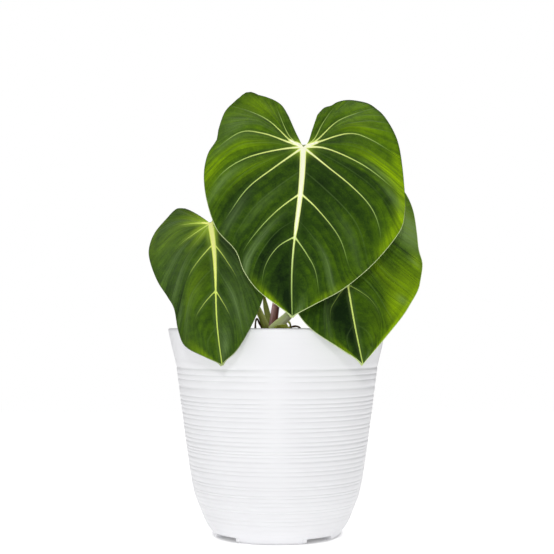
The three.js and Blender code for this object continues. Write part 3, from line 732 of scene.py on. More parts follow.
def half_blade(leaf, side, sign, ray, reach):
    """Places of one half, its thickness, and the values that the finish needs."""
    flat, end = flat_half(leaf, side, ray, reach)
    across, along = flat.T
    from_joint = np.hypot(across, along)
    outside, light, minor, minor_light = vein_field(leaf, side, flat)
    beyond = np.maximum(outside, 0)
    bent, up = bend_blade(leaf, sign * across, along)
    bent[:, 0] += bow_sideways(leaf, along, reach)

    between = np.sin(math.pi * ray) ** 2
    wave_height, waves, phase = leaf["wave"]
    ripple = wave_height * np.sin(2 * math.pi * waves * end + phase + sign) * reach**3 * np.minimum(ray, 1)
    quilt = QUILT * between * np.sin(math.pi * reach)
    valley = -VALLEY * np.exp(-(beyond / 1.1) ** 2) * light
    rise = ripple + quilt + valley + VEIN_CREST * np.clip(-outside / 1.2, 0, 1) * light

    rib = JOINT_RIB * (1 - 0.7 * along / leaf["length"]) * np.exp(-(across / MIDRIB_SPREAD) ** 2)
    rib = np.where(along < 0, JOINT_RIB * np.exp(-(from_joint / MIDRIB_SPREAD) ** 2), rib)
    rib = np.maximum(rib, VEIN_RIB * np.exp(-(beyond / VEIN_SPREAD) ** 2) * (1 - reach))

    edge = margin(leaf, side, np.linspace(0, 1, EDGE_POINTS))
    values = dict(
        vein=outside, vein_light=light, minor=minor, minor_light=minor_light,
        margin=nearest_on(edge, flat)[0], edge_pale=np.interp(end, *leaf["edge"]),
        tone=leaf_tone(leaf, side, ray, reach), halo=light * leaf["halo"], yellow=leaf["yellow"],
        joint_glow=np.exp(-(from_joint / leaf["joint_glow"]) ** 2),
        fold_row=-sign * ray * FOLDS_PER_VEIN, streaks=leaf["streaks"],
    )
    for kind in PATCH_KINDS:
        values[kind] = patch_strength(leaf, kind, side, ray, reach)
    return bent + up * rise[:, None], THIN + rib, values


print("a blade is", THIN, "mm thick between its veins")

# %% [markdown]
# Both halves are one grid, folded down the middle: its left columns become the left half and its
# right columns the right half.
#
# The columns crowd towards the midrib and the margin, and the rows towards the veins, where the
# shape changes fastest. All rows of the basal veins meet in the joint, so the points there are
# merged. A Solidify modifier then gives the sheet its thickness, more of it under the veins.

# %% Blades
COLUMNS, ROWS_PER_VEIN = 112, 16
CROWD_COLUMNS, CROWD_ROWS = 0.62, 0.5
MERGE_DISTANCE = 1e-6


def crowd(value, strength):
    """Moves evenly spread shares from 0 to 1 towards both ends."""
    return value - strength / (2 * math.pi) * np.sin(2 * math.pi * value)


def merge_points():
    bpy.ops.mesh.remove_doubles(threshold=MERGE_DISTANCE)


def keep_thickness(piece, thickness):
    """Stores a sheet's thickness at each point, in millimetres, and returns Solidify's options."""
    group = piece.vertex_groups.new(name="thickness")
    full = thickness.max()
    for index, share in enumerate(thickness / full):
        group.add([index], float(share), "REPLACE")
    return dict(thickness=full * MM, vertex_group=group.name)


def make_blade(name, leaf, number):
    piece, column, row = new_grid("leaf_" + name, COLUMNS, ROWS_PER_VEIN * TIP_RAY)
    offset = column / COLUMNS * 2 - 1
    reach = crowd(np.abs(offset), CROWD_COLUMNS)
    whole = row // ROWS_PER_VEIN
    ray = whole + crowd(row / ROWS_PER_VEIN - whole, CROWD_ROWS)
    places, thick, kept = np.zeros((len(ray), 3)), np.zeros(len(ray)), {}
    for side, sign in (("left", -1), ("right", 1)):
        here = offset * sign >= 0
        places[here], thick[here], values = half_blade(leaf, side, sign, ray[here], reach[here])
        for key, value in values.items():
            kept.setdefault(key, np.zeros(len(ray)))[here] = value
    turn = leaf_turn(leaf)
    move_points(piece, ((places @ turn.T) + leaf["at"]) * MM)
    for key, values in kept.items():
        keep_values(piece, key, values)
    keep_values(piece, "grain", np.stack([ray, reach, np.sign(offset) + 7.0 * number], -1))
    sheet = keep_thickness(piece, thick)
    in_edit_mode(piece, merge_points)
    normals = np.array([face.normal for face in piece.data.polygons])
    if (normals @ (turn @ np.array((0, -1, 0.3)))).mean() < 0:
        in_edit_mode(piece, bpy.ops.mesh.flip_normals)
    for material in (leaf_top, leaf_under, leaf_edge):
        piece.data.materials.append(material)
    apply_modifier(piece, "SOLIDIFY", offset=-1, material_offset=1, material_offset_rim=2, **sheet)
    smooth_shading(piece, 50)
    dress(piece, "blade_" + name)


for number, (name, leaf) in enumerate(LEAVES.items()):
    make_blade(name, leaf, number)

# %% [markdown]
# Stalks, roots and the creeping stem are all tubes whose width changes along a curved path.
#
# A curve object with a bevel would be quick, but its section could only be one shape. A leaf
# stalk is D-shaped, round in front and flattened behind, and flares where it clasps the stem. So
# a grid is rolled into a tube round the path, its seam is merged and its ends are filled. Each
# point keeps its direction round the tube and its distance along it, for streaks in the finish.

# %% Tube helper
PATH_STEPS, LEAN_LENGTH = 80, 7


def smooth_path(keys, share):
    """Points on a smooth curve through the keys that is even in tight and wide bends."""
    keys = np.array(keys, float)
    keys = np.vstack([2 * keys[0] - keys[1], keys, 2 * keys[-1] - keys[-2]])
    knots = np.append(0, np.sqrt(np.linalg.norm(np.diff(keys, axis=0), axis=1)).cumsum())
    curve = []
    for i in range(1, len(keys) - 2):
        before, start, end, after = keys[i - 1:i + 3]
        d0, d1, d2 = np.diff(knots[i - 1:i + 3])
        out = ((start - before) / d0 - (end - before) / (d0 + d1) + (end - start) / d1) * d1
        into = ((end - start) / d1 - (after - start) / (d1 + d2) + (after - end) / d2) * d1
        t = np.linspace(0, 1, PATH_STEPS)[:, None]
        cubic = (2 * start - 2 * end + out + into) * t**3
        curve.append(cubic + (3 * end - 3 * start - 2 * out - into) * t**2 + out * t + start)
    curve = np.vstack(curve)
    length = np.append(0, np.linalg.norm(np.diff(curve, axis=0), axis=1).cumsum())
    return np.stack([np.interp(share * length[-1], length, c) for c in curve.T], -1), length[-1]


def make_tube(name, keys, radius, facing=(0, 1, 0), sides=24, steps=80, end_up=None):
    """A closed tube. radius(angle, share) is in millimetres, and angle 0 points to facing.

    With end_up, its last ring leans to lie at right angles to that direction.
    """
    piece, column, row = new_grid(name, sides, steps)
    angle, share = 2 * math.pi * column / sides, row / steps
    spine, length = smooth_path(keys, np.linspace(0, 1, steps + 1))
    forward = np.gradient(spine, axis=0)
    forward /= np.linalg.norm(forward, axis=1)[:, None]
    side = np.cross(forward, facing)
    side /= np.linalg.norm(side, axis=1)[:, None]
    front = np.cross(side, forward)
    at = row.astype(int)
    out = front[at] * np.cos(angle)[:, None] + side[at] * np.sin(angle)[:, None]
    places = spine[at] + out * radius(angle, share)[:, None]
    if end_up is not None:
        lean = -(out @ end_up) / (forward[-1] @ end_up) * radius(angle, 0 * share + 1)
        near_end = np.clip((share * length - length + LEAN_LENGTH) / LEAN_LENGTH, 0, 1)
        places += forward[at] * (lean * near_end)[:, None]
    move_points(piece, places * MM)
    round_about = np.stack([np.cos(angle), np.sin(angle), share * length], -1)
    keep_values(piece, "skin", round_about)
    keep_values(piece, "share", share)
    in_edit_mode(
        piece,
        merge_points,
        lambda: bpy.ops.mesh.select_all(action="DESELECT"),
        bpy.ops.mesh.select_non_manifold,
        lambda: bpy.ops.mesh.fill_holes(sides=0),
        lambda: bpy.ops.mesh.select_all(action="SELECT"),
        bpy.ops.mesh.normals_make_consistent,
    )
    return piece


def at_share(keys, share):
    """A value through (share, value) pairs."""
    return np.interp(share, *zip(*keys))


# %% [markdown]
# Each stalk has its own colour on this plant: the front one is wine red, the left one olive and
# the right one a thick pale green. Light and shade across a stalk are painted in: the front one is
# pinkish on its lit side and near black on its shaded side, and the pale one is lifted almost to
# white, partly as painted light.
#
# They share one recipe: two colours mixed round the tube as painted light and shade, fine streaks
# along it, a few dark flecks, and a darker, browner base where the stalk leaves the mix.

# %% Finish of the stalks
def stalk_finish(name, *shades):
    """A finish from the screen colours of a stalk's left and right sides, painted light and shade, and of
    its base.
    """
    left_side, right_side, base = (colour(*shade) for shade in shades)
    material, tree, shader = finish(name, Roughness=0.36, Specular_IOR_Level=0.5, Coat_Weight=0.35)
    skin = attribute(tree, "skin", "Vector")
    streaks = speckle(tree, skin, (7, 7, 0.05), 3)
    side = add_node(tree, "SeparateXYZ", {0: skin}).outputs["Y"]
    turn = sum_up(tree, side, [(streaks, 1.6, 0.5)])
    # painted light and shade: one colour on the left of the tube, another on the right
    shade = mix(tree, remap(tree, turn, -0.7, 0.7), right_side, left_side)
    shade = mix(tree, remap(tree, attribute(tree, "share"), 0.22, 0.02, 0, 0.8), shade, base)
    flecks = speckle(tree, skin, (5, 5, 0.9), 2)
    shade = mix(tree, remap(tree, flecks, 0.62, 0.72, 0, 0.5), shade, base)
    surface(tree, shader, shade, streaks, depth=0.0002)
    return material


stalk_red = stalk_finish("stalk_wine_red", (240, 176, 180), (74, 12, 20), (120, 50, 44))
stalk_green = stalk_finish("stalk_olive", (150, 166, 66), (198, 212, 104), (140, 146, 62))
stalk_pale = stalk_finish("stalk_pale_green", (240, 250, 194), (250, 253, 224), (240, 248, 166))
print("stalk finishes: 3")

# %% [markdown]
# A stalk ends behind its leaf, just under the joint, and bends over to meet the blade's rib. The
# path runs from inside the creeping stem to that place, and its last point is worked out from
# the leaf itself, so that stalk and leaf always meet.

# %% Stalks
STALKS = {
    "front": dict(radius=(2.9, 2.1), material=stalk_red, slot="stalk_red", path=[
        (-3.5, 3, 146), (-2.4, 2, 156), (0, 0, 172), (6, -6, 207), (12.5, -19, 243), (16.6, -38, 265)]),
    "left": dict(radius=(2.6, 1.9), material=stalk_green, slot="stalk_green", path=[
        (-4.5, 14, 145), (-7.9, 13, 150.5), (-13.2, 11, 162), (-28, 1, 190), (-40.5, -15, 212)]),
    "right": dict(radius=(3.4, 2), material=stalk_pale, slot="stalk_pale", path=[
        (-3, -7, 148.5), (0.3, -8.5, 152), (9.3, -10, 160.5), (19, -13, 177), (29, -21, 203),
        (35, -33, 221)]),
}
SUNK_IN_RIB = 0.3
RIDGES, RIDGE_HEIGHT = 9, 0.018


def make_stalk(name, stalk):
    leaf = LEAVES[name]
    place, up = bend_blade(leaf, np.zeros(1), np.full(1, 1.5))
    up = leaf_turn(leaf) @ up[0]
    end = leaf_turn(leaf) @ place[0] + leaf["at"] - up * (THIN + JOINT_RIB - SUNK_IN_RIB)
    first, last = stalk["radius"]

    def radius(angle, share):
        flat = 1 - 0.25 * np.maximum(0, np.cos(angle)) ** 2
        clasp = at_share([(0, 1.22), (0.05, 1.12), (0.14, 1), (0.94, 1), (1, 1.06)], share)
        ridges = 1 + RIDGE_HEIGHT * np.cos(RIDGES * angle)
        return (first + (last - first) * share) * flat * clasp * ridges

    piece = make_tube("stalk_" + name, stalk["path"] + [tuple(end)], radius, end_up=up)
    piece.data.materials.append(stalk["material"])
    smooth_shading(piece, 50)
    dress(piece, "petiole_" + name)


for name, stalk in STALKS.items():
    make_stalk(name, stalk)

# %% [markdown]
# The creeping stem carries ring-shaped scars where older leaves were attached. Roots arch out of
# it and dive into the mix.
#
# Stem and roots are separate tubes first. They are joined, and a Remesh modifier turns them into
# one skin, so that a root grows out of the stem and doesn't just poke through it. A little
# smoothing takes the steps of the remesh away and leaves the scars.

# %% Creeping stem with roots
STEM_PATH = [(-2, 47, 139), (-1, 32, 142), (0, 14, 144), (1.5, -2, 147), (3.5, -13, 150.5)]
STEM_RADIUS = [(0, 5), (0.06, 7.4), (0.2, 8.2), (0.4, 8.6), (0.75, 8.4), (0.88, 7.4), (0.94, 6.2),
               (0.98, 4.6), (1, 2.6)]
STEM_SCARS, SCAR_DEPTH, KNOB_HEIGHT = 7, 1.0, 0.25
ROOT_RADIUS = 0.95
ROOT_PATHS = [
    [(-3, 14, 146), (-9.5, 16, 148), (-12.8, 13, 153), (-14.8, 9, 157), (-15.8, 6, 155), (-16, 4, 136)],
    [(2, -2, 149), (7.5, -4, 155), (9.4, -4.5, 153.5), (10, -5, 136)],
    [(4, 2, 147), (11, 1, 151), (16.5, 0, 150.5), (18.5, 0, 136)],
    [(-3, 26, 143), (-10, 27, 146), (-13, 28, 144), (-14, 28, 134)],
]


def stem_radius(angle, share):
    ring = np.abs(np.sin(math.pi * STEM_SCARS * share))
    knobs = KNOB_HEIGHT * np.sin(5 * angle + 11 * share) * np.sin(23 * share)
    return at_share(STEM_RADIUS, share) - SCAR_DEPTH * (1 - ring) ** 3 + knobs


def root_radius(angle, share):
    return ROOT_RADIUS * (1 - 0.3 * share) * (1 + 0.08 * np.sin(40 * share))


parts = [make_tube("stem", STEM_PATH, stem_radius, (0, 0, 1), sides=64, steps=160)]
parts += [make_tube("root", path, root_radius, sides=12, steps=60) for path in ROOT_PATHS]
select_only(parts[0])
for part in parts[1:]:
    part.select_set(True)
bpy.ops.object.join()
stem = bpy.context.object
stem.name = stem.data.name = "creeping_stem"
apply_modifier(stem, "REMESH", mode="VOXEL", voxel_size=0.45 * MM)
apply_modifier(stem, "SMOOTH", factor=0.5, iterations=3)
print("stem and", len(ROOT_PATHS), "roots:", len(stem.data.polygons), "faces")

# %% [markdown]
# The stem is green where it is young, near the growing tip, and brown and corky further back.
# The roots are brown.
#
# The remesh threw the attributes away, so this finish reads the place in the object instead: Y
# runs along the stem, and roots lie further out to its sides than its skin does.

# %% Finish of the stem
stem_skin, tree, shader = finish("stem_skin", Roughness=0.5, Specular_IOR_Level=0.4)
place = object_place(tree)
axes = add_node(tree, "SeparateXYZ", {0: place}).outputs
mottle = speckle(tree, place, 260, 4)
wrinkles = speckle(tree, place, (420, 1500, 420), 3)
age = remap(tree, plus(tree, axes["Y"], times(tree, mottle, 0.016)), -0.002, 0.034)
shade = mix(tree, age, colour(204, 212, 84), colour(120, 112, 60))
shade = mix(tree, remap(tree, mottle, 0.5, 0.68, 0, 0.65), shade, colour(98, 84, 44))
shade = mix(tree, remap(tree, wrinkles, 0.58, 0.72, 0, 0.5), shade, colour(72, 54, 32))
# roots stand out to the sides of the stem, and turn brown where they leave it
sideways = maths(tree, "ABSOLUTE", maths(tree, "SUBTRACT", axes["X"], 0.001))
shade = mix(tree, remap(tree, sideways, 0.0078, 0.0096), shade, colour(86, 60, 38))
surface(tree, shader, shade, wrinkles, depth=0.0004)
stem.data.materials.clear()
stem.data.materials.append(stem_skin)
smooth_shading(stem)
dress(stem, "rhizome")

# %% [markdown]
# Beside the stalks stands one cataphyll. It is the pointed sheath that once wrapped a young leaf.
# It is a tube that narrows to a point, with a keel down its back and a crease in front, and it
# has started to dry from the tip.

# %% Cataphyll
sheath_skin, tree, shader = finish("sheath_skin", Roughness=0.5, Specular_IOR_Level=0.35)
skin = attribute(tree, "skin", "Vector")
lines = speckle(tree, skin, (9, 9, 0.06), 3)
shade = mix(tree, remap(tree, lines, 0.35, 0.7), colour(124, 136, 58), colour(184, 194, 104))
dry = plus(tree, attribute(tree, "share"), times(tree, lines, 0.25))
shade = mix(tree, remap(tree, dry, 0.85, 1.12), shade, colour(122, 84, 52))
surface(tree, shader, shade, lines, depth=0.0004)


def sheath_radius(angle, share):
    keel = 0.16 * np.maximum(0, np.cos(angle)) ** 8
    crease = -0.3 * np.maximum(0, -np.cos(angle)) ** 10
    width = at_share([(0, 2.6), (0.4, 2.4), (0.65, 1.95), (0.85, 1.1), (1, 0.35)], share)
    return width * (1 + keel + crease)


sheath = make_tube("cataphyll_sheath", [(-3.5, 22, 146), (-5.2, 21, 152), (-8.8, 20, 168), (-10.5, 19, 178)],
                   sheath_radius, sides=32, steps=60)
sheath.data.materials.append(sheath_skin)
smooth_shading(sheath, 50)
dress(sheath, "cataphyll")

# %% [markdown]
# Pot and mix are turned shapes. Their half section is drawn once and spun round the pot's axis.
#
# The section starts as a circle primitive with one point for each corner, and the points are
# moved onto the drawn outline. The edge that lies on the axis is deleted before the spin, because
# it would sweep nothing. After the spin the seam and the poles are merged and the faces turned
# outwards.

# %% Turning helper
TURN_STEPS = 180


def smooth_value(keys, x):
    """A value through (x, value) keys without corners."""
    x_keys, values = np.array(keys, float).T
    slopes = np.empty(len(keys))
    slopes[1:-1] = (values[2:] - values[:-2]) / (x_keys[2:] - x_keys[:-2])
    slopes[0] = (values[1] - values[0]) / (x_keys[1] - x_keys[0])
    slopes[-1] = (values[-1] - values[-2]) / (x_keys[-1] - x_keys[-2])
    i = np.clip(np.searchsorted(x_keys, x) - 1, 0, len(keys) - 2)
    span, rise = x_keys[i + 1] - x_keys[i], values[i + 1] - values[i]
    t = (x - x_keys[i]) / span
    out, into = slopes[i] * span, slopes[i + 1] * span
    return values[i] + out * t + (3 * rise - 2 * out - into) * t**2 + (out + into - 2 * rise) * t**3


def turn_section(name, section):
    """A closed solid from a half section, [radius, height] in millimetres, from axis to axis."""
    start_clean()
    bpy.ops.mesh.primitive_circle_add(vertices=len(section))
    piece = bpy.context.object
    piece.name = piece.data.name = name
    move_points(piece, [(r * MM, 0, z * MM) for r, z in section])
    on_axis = {i for i, (r, z) in enumerate(section) if r == 0}
    bpy.ops.object.mode_set(mode="EDIT")
    bpy.ops.mesh.select_mode(type="EDGE")
    bpy.ops.mesh.select_all(action="DESELECT")
    bpy.ops.object.mode_set(mode="OBJECT")
    for edge in piece.data.edges:
        edge.select = set(edge.vertices) <= on_axis
    bpy.ops.object.mode_set(mode="EDIT")
    bpy.ops.mesh.delete(type="EDGE")
    bpy.ops.mesh.select_all(action="SELECT")
    bpy.ops.mesh.spin(steps=TURN_STEPS, angle=2 * math.pi, center=(0, 0, 0), axis=(0, 0, 1))
    bpy.ops.mesh.select_all(action="SELECT")
    merge_points()
    bpy.ops.mesh.normals_make_consistent()
    bpy.ops.mesh.select_mode(type="VERT")
    bpy.ops.object.mode_set(mode="OBJECT")
    return piece


# %% [markdown]
# The pot is a white plastic one with a flared plain rim band. Below the band the wall is turned
# with fine grooves at uneven distances, four of them deeper than the rest.
#
# Each groove takes five points of the section and each band between two grooves three, with the
# middle one standing out by a hair, so that every band catches its own line of light.

# %% Pot wall
POT_HEIGHT, POT_WALL, FOOT_RADIUS, FLOOR = 150, 2.4, 44.6, 2.4
POT_OUTLINE = [(1.8, 46.5), (9, 51.6), (18, 55.6), (31, 60.4), (53, 64.4), (88, 69.2), (123, 73.9),
               (136, 77), (148.6, 79.8)]
INNER_LEVELS = [9, 14, 30, 60, 100, 130, 138]
# Height, width and depth of each groove, from the rim band down. All of them are cut to the same
# share of their depth.
GROOVES = [
    (122, 2.4, 0.52), (117.7, 1.5, 0.24), (113.9, 1.3, 0.21), (108.5, 2.8, 0.35), (102.3, 1.5, 0.24),
    (98.8, 1.3, 0.29), (96.1, 1.2, 0.21), (93.3, 1.2, 0.17), (89.6, 1.5, 0.29), (86.5, 1.3, 0.21),
    (82.3, 1.3, 0.21), (79.6, 1.4, 0.28), (76, 1.1, 0.14), (72.7, 1.3, 0.21), (69.9, 2, 0.42),
    (66.5, 1.3, 0.24), (64.4, 1.1, 0.21), (62.3, 1.1, 0.21), (59.1, 2, 0.42), (55.6, 1.2, 0.14),
    (52.5, 1.3, 0.24), (49.7, 1.4, 0.29), (45.6, 1.2, 0.15), (41.9, 1.2, 0.24), (39.8, 1.1, 0.24),
    (35.9, 1.1, 0.22), (34.1, 1, 0.21), (31.2, 1.5, 0.29), (28.3, 1.2, 0.21), (25.1, 1.1, 0.24),
    (23.2, 1.1, 0.24), (20.2, 1.1, 0.14), (17.5, 1.2, 0.24), (14.5, 1.3, 0.28), (11, 1.2, 0.15),
    (8, 1.1, 0.21),
]
GROOVE_SHARE = 0.75


def pot_radius(z):
    return float(smooth_value(POT_OUTLINE, np.array(float(z))))


def outer_section():
    lip = pot_radius(148.6)
    section = [(pot_radius(148) - POT_WALL, POT_HEIGHT - 0.6), (lip - 1.9, POT_HEIGHT)]
    section += [(lip - 1.1, POT_HEIGHT), (lip - 0.45, 149.8), (lip - 0.08, 149.3), (lip, 148.6)]
    section += [(pot_radius(z), z) for z in (146.8, 144, 141, 138, 135, 132, 129, 126)]
    for (z, width, depth), below in zip(GROOVES, GROOVES[1:] + [(4, 2, 0)]):
        for step, share in ((0.5, 0), (0.3, 0.55), (0, 1), (-0.3, 0.62), (-0.5, 0)):
            height = z + step * width
            section.append((pot_radius(height) - GROOVE_SHARE * depth * share, height))
        top, bottom = z - width / 2, below[0] + below[1] / 2
        for share, bulge in ((0.2, 0.05), (0.5, 0.09), (0.8, 0.05)):
            height = top + (bottom - top) * share
            section.append((pot_radius(height) + bulge, height))
    section += [(pot_radius(4.4), 4.4), (pot_radius(2.9), 2.9), (pot_radius(1.8), 1.8)]
    return section + [(FOOT_RADIUS + 1.3, 0.7), (FOOT_RADIUS + 0.5, 0.15), (FOOT_RADIUS, 0), (20, 0), (0, 0)]


def inside_section(inset, levels):
    """The space inside the pot from its floor up, made smaller by an inset."""
    wall = POT_WALL + 2 * inset
    section = [(0, FLOOR + inset), (20, FLOOR + inset), (FOOT_RADIUS - 1 - inset, FLOOR + inset)]
    return section + [(pot_radius(z) - wall, z) for z in levels]


pot = turn_section("ribbed_pot", inside_section(0, INNER_LEVELS + [144, 149]) + outer_section())
print("pot wall:", len(GROOVES), "grooves")

# %% [markdown]
# Under the pot, four channels run out from near the middle and let water away from the drain
# holes. They leave four flat feet.
#
# A channel rises a few millimetres into the pot, so the floor must arch over it. Boolean modifiers
# do both jobs: first a larger bar is joined to the floor on the inside, then the channel and its
# drain hole are cut. The bars are cubes with a Bevel, so that a channel's corners are soft.

# %% Channels and drain holes
FOOT_TURN, CHANNELS, CHANNEL_WIDTH, CHANNEL_HEIGHT, CHANNEL_START = -5.5, 4, 23, 3.5, 15
DRAIN_RADIUS, DRAIN_CIRCLE, DRAIN_LENGTH = 4, 24, 40
CORNER = 1.1
PAST_FOOT, BELOW_FLOOR = 60, -5


def channel_bar(turn, larger, reach, lowest):
    """A bevelled bar along a channel, larger than it by some millimetres on each side."""
    start_clean()
    bpy.ops.mesh.primitive_cube_add(size=1)
    bar = bpy.context.object
    start, top = CHANNEL_START - larger, CHANNEL_HEIGHT + larger
    size = ((CHANNEL_WIDTH + 2 * larger) * MM, (reach - start) * MM, (top - lowest) * MM)
    middle = Vector((0, -(reach + start) / 2 * MM, (top + lowest) / 2 * MM))
    in_edit_mode(
        bar,
        lambda: bpy.ops.transform.resize(value=size),
        lambda: bpy.ops.transform.translate(value=middle),
    )
    apply_modifier(bar, "BEVEL", width=CORNER * MM, segments=3)
    bar.data.transform(Matrix.Rotation(turn, 4, "Z"))
    return bar


def combine(piece, tool, operation):
    apply_modifier(piece, "BOOLEAN", object=tool, operation=operation, solver="EXACT")
    bpy.data.objects.remove(tool)


CHANNEL_TURNS = [math.radians(FOOT_TURN + 360 / CHANNELS * (i + 0.5)) for i in range(CHANNELS)]
for turn in CHANNEL_TURNS:
    combine(pot, channel_bar(turn, FLOOR, FOOT_RADIUS + 2, 1), "UNION")
for turn in CHANNEL_TURNS:
    combine(pot, channel_bar(turn, 0, PAST_FOOT, BELOW_FLOOR), "DIFFERENCE")
    start_clean()
    drain = Matrix.Rotation(turn, 3, "Z") @ Vector((0, -DRAIN_CIRCLE * MM, 0))
    bpy.ops.mesh.primitive_cylinder_add(
        vertices=48, radius=DRAIN_RADIUS * MM, depth=DRAIN_LENGTH * MM, location=drain)
    combine(pot, bpy.context.object, "DIFFERENCE")
print("pot:", len(pot.data.polygons), "faces")

# %% [markdown]
# White plastic is easily made too plain. This one is very slightly blue, with a satin gloss, a
# faint turned grain running round it, and painted shade in the grooves.
#
# The grooves are found by the surface itself: each point stores how far it lies inside the pot's
# smooth outline, unless it lies so far in that it belongs to the inner wall.

# %% Finish of the pot
INNER_WALL = 1.15
places = points_of(pot) / MM
outline = smooth_value(POT_OUTLINE, np.clip(places[:, 2], 1.8, 148.6))
inward = np.maximum(outline - np.hypot(places[:, 0], places[:, 1]), 0)
keep_values(pot, "groove", np.where(inward < INNER_WALL, inward, 0))

pot_white, tree, shader = finish("pot_white_plastic", Roughness=0.36, Specular_IOR_Level=0.5)
place = object_place(tree)
turned = speckle(tree, place, (14, 14, 900), 2)
cloud = speckle(tree, place, (22, 22, 30), 2)
shade = mix(tree, cloud, colour(223, 223, 226), colour(229, 229, 231))
# painted shade: grey in the grooves, more of it where a groove is deeper
shade = mix(tree, remap(tree, attribute(tree, "groove"), 0.05, 0.8, 0, 0.3), shade, colour(204, 204, 205))
shade = mix(tree, remap(tree, turned, 0.6, 0.75, 0, 0.25), shade, colour(219, 219, 222))
surface(tree, shader, shade, turned, 0.00008, remap(tree, cloud, 0.3, 0.7, 0.32, 0.42))
pot.data.materials.append(pot_white)
smooth_shading(pot, 40)
dress(pot, "pot")

# %% [markdown]
# The potting mix fills the pot to nine millimetres below the rim. It is coarse, with bark,
# coir and a few grains of perlite.
#
# The body is turned like the pot, with many rings on top. Those points are then lifted by a sum
# of soft lumps and by noise. The loose bits come afterwards as pieces of their own.

# %% Potting mix
SOIL_LEVEL, SOIL_LUMP, SOIL_CRUMB, SOIL_GAP = 141, 1.3, 0.55, 0.35
SOIL_RINGS = 72


def soil_height(x, y):
    coarse = math.sin(0.19 * x + 1.3) * math.cos(0.16 * y - 0.4)
    fine = math.sin(0.43 * x - 0.37 * y + 2) + math.cos(0.31 * x + 0.52 * y)
    crumbs = noise.noise((x * 0.45, y * 0.45, 3)) + 0.6 * noise.noise((x * 1.1, y * 1.1, 8))
    return SOIL_LEVEL + SOIL_LUMP * (0.6 * coarse + 0.4 * fine) + SOIL_CRUMB * crumbs


edge = pot_radius(138) - POT_WALL - 2 * SOIL_GAP
top_rings = [(edge - 0.2, SOIL_LEVEL - 1)]
top_rings += [(r, SOIL_LEVEL) for r in np.linspace(edge - 0.6, 0, SOIL_RINGS)]
soil = turn_section("potting_mix", inside_section(SOIL_GAP, INNER_LEVELS) + top_rings)
for turn in CHANNEL_TURNS:
    combine(soil, channel_bar(turn, FLOOR + SOIL_GAP, PAST_FOOT + 10, BELOW_FLOOR), "DIFFERENCE")
places = points_of(soil)
for point in places:
    if point[2] > (SOIL_LEVEL - 0.5) * MM:
        point[2] = soil_height(point[0] / MM, point[1] / MM) * MM
move_points(soil, places)

soil_dark, tree, shader = finish("potting_mix_dark", Roughness=0.95, Specular_IOR_Level=0.15)
place = object_place(tree)
crumbs = speckle(tree, place, 700, 5)
patches = speckle(tree, place, 120, 3)
shade = colour_stops(tree, crumbs, [
    (0.3, colour(26, 18, 13)), (0.5, colour(56, 41, 29)), (0.72, colour(98, 74, 52)),
])
shade = mix(tree, remap(tree, patches, 0.4, 0.7, 0, 0.6), shade, colour(38, 29, 22))
surface(tree, shader, shade, crumbs, depth=0.0016)
soil.data.materials.append(soil_dark)
smooth_shading(soil, 60)
dress(soil, "soil")

# %% [markdown]
# Bark chips and perlite lie loose on the mix. One chip and one grain are modelled and then
# copied, each copy turned and sized by a seeded random number, so that every run is the same.
#
# A chip is a flat cube, cut up and roughened. A grain is a small rounded lump. All the copies of
# one kind are joined into one piece at the end.

# %% Loose bark and perlite
rolls = random.Random(5)
SCATTER_REACH, SCATTER_RADIUS, TILT = 66, 65, 0.35
STEM_CLEAR_X, STEM_CLEAR_Y = (-13, 13), (-22, 54)


def bit_model(size, rough, cuts):
    """A roughened cube with its corners pulled in, of a size in millimetres."""
    start_clean()
    bpy.ops.mesh.primitive_cube_add(size=1)
    bit = bpy.context.object
    in_edit_mode(bit, lambda: bpy.ops.mesh.subdivide(number_cuts=cuts))
    edges = Vector([edge * MM for edge in size])
    places = points_of(bit)
    for point in places:
        shift = Vector([rolls.uniform(-rough, rough) for _ in range(3)])
        point[:] = (Vector(point) * (1.15 - 0.3 * Vector(point).length) + shift) * edges
    move_points(bit, places)
    return bit


def over_stem(x, y):
    return STEM_CLEAR_X[0] < x < STEM_CLEAR_X[1] and STEM_CLEAR_Y[0] < y < STEM_CLEAR_Y[1]


def scatter(name, model, count, lift, material):
    """Copies of a model over the mix, clear of the stem and the pot's wall, as one piece."""
    copies = []
    while len(copies) < count:
        x, y = (rolls.uniform(-SCATTER_REACH, SCATTER_REACH) for _ in range(2))
        if math.hypot(x, y) > SCATTER_RADIUS or over_stem(x, y):
            continue
        copy = model.copy()
        copy.data = model.data.copy()
        bpy.context.collection.objects.link(copy)
        turn = Matrix.Rotation(rolls.uniform(0, 2 * math.pi), 4, "Z")
        tilt_x, tilt_y = (Matrix.Rotation(rolls.uniform(-TILT, TILT), 4, axis) for axis in "XY")
        size = Matrix.Scale(rolls.uniform(0.45, 1), 4)
        place = Matrix.Translation(Vector((x, y, soil_height(x, y) + lift)) * MM)
        copy.data.transform(place @ turn @ (tilt_x @ tilt_y) @ size)
        copies.append(copy)
    bpy.data.objects.remove(model)
    select_only(copies[0])
    for copy in copies[1:]:
        copy.select_set(True)
    bpy.ops.object.join()
    piece = bpy.context.object
    piece.name = piece.data.name = name
    piece.data.materials.append(material)
    dress(piece, None)


bark, tree, shader = finish("bark_chips", Roughness=0.85, Specular_IOR_Level=0.2)
place = object_place(tree)
lines = speckle(tree, place, (900, 300, 900), 3)
kinds = speckle(tree, place, 90, 1)
shade = mix(tree, remap(tree, kinds, 0.35, 0.65), colour(70, 44, 28), colour(128, 88, 56))
shade = mix(tree, remap(tree, lines, 0.45, 0.65, 0, 0.7), shade, colour(44, 28, 19))
surface(tree, shader, shade, lines, depth=0.0008)
scatter("bark_bits", bit_model((8, 4.5, 2.2), rough=0.07, cuts=3), 190, 0.5, bark)

perlite, tree, shader = finish("perlite", Roughness=0.9, Specular_IOR_Level=0.2)
place = object_place(tree)
pits = speckle(tree, place, 1600, 3)
shade = mix(tree, remap(tree, pits, 0.35, 0.6), colour(176, 170, 158), colour(228, 226, 220))
surface(tree, shader, shade, pits, depth=0.0005)
scatter("perlite_bits", bit_model((3, 2.7, 2.4), rough=0.09, cuts=2), 70, 0.4, perlite)

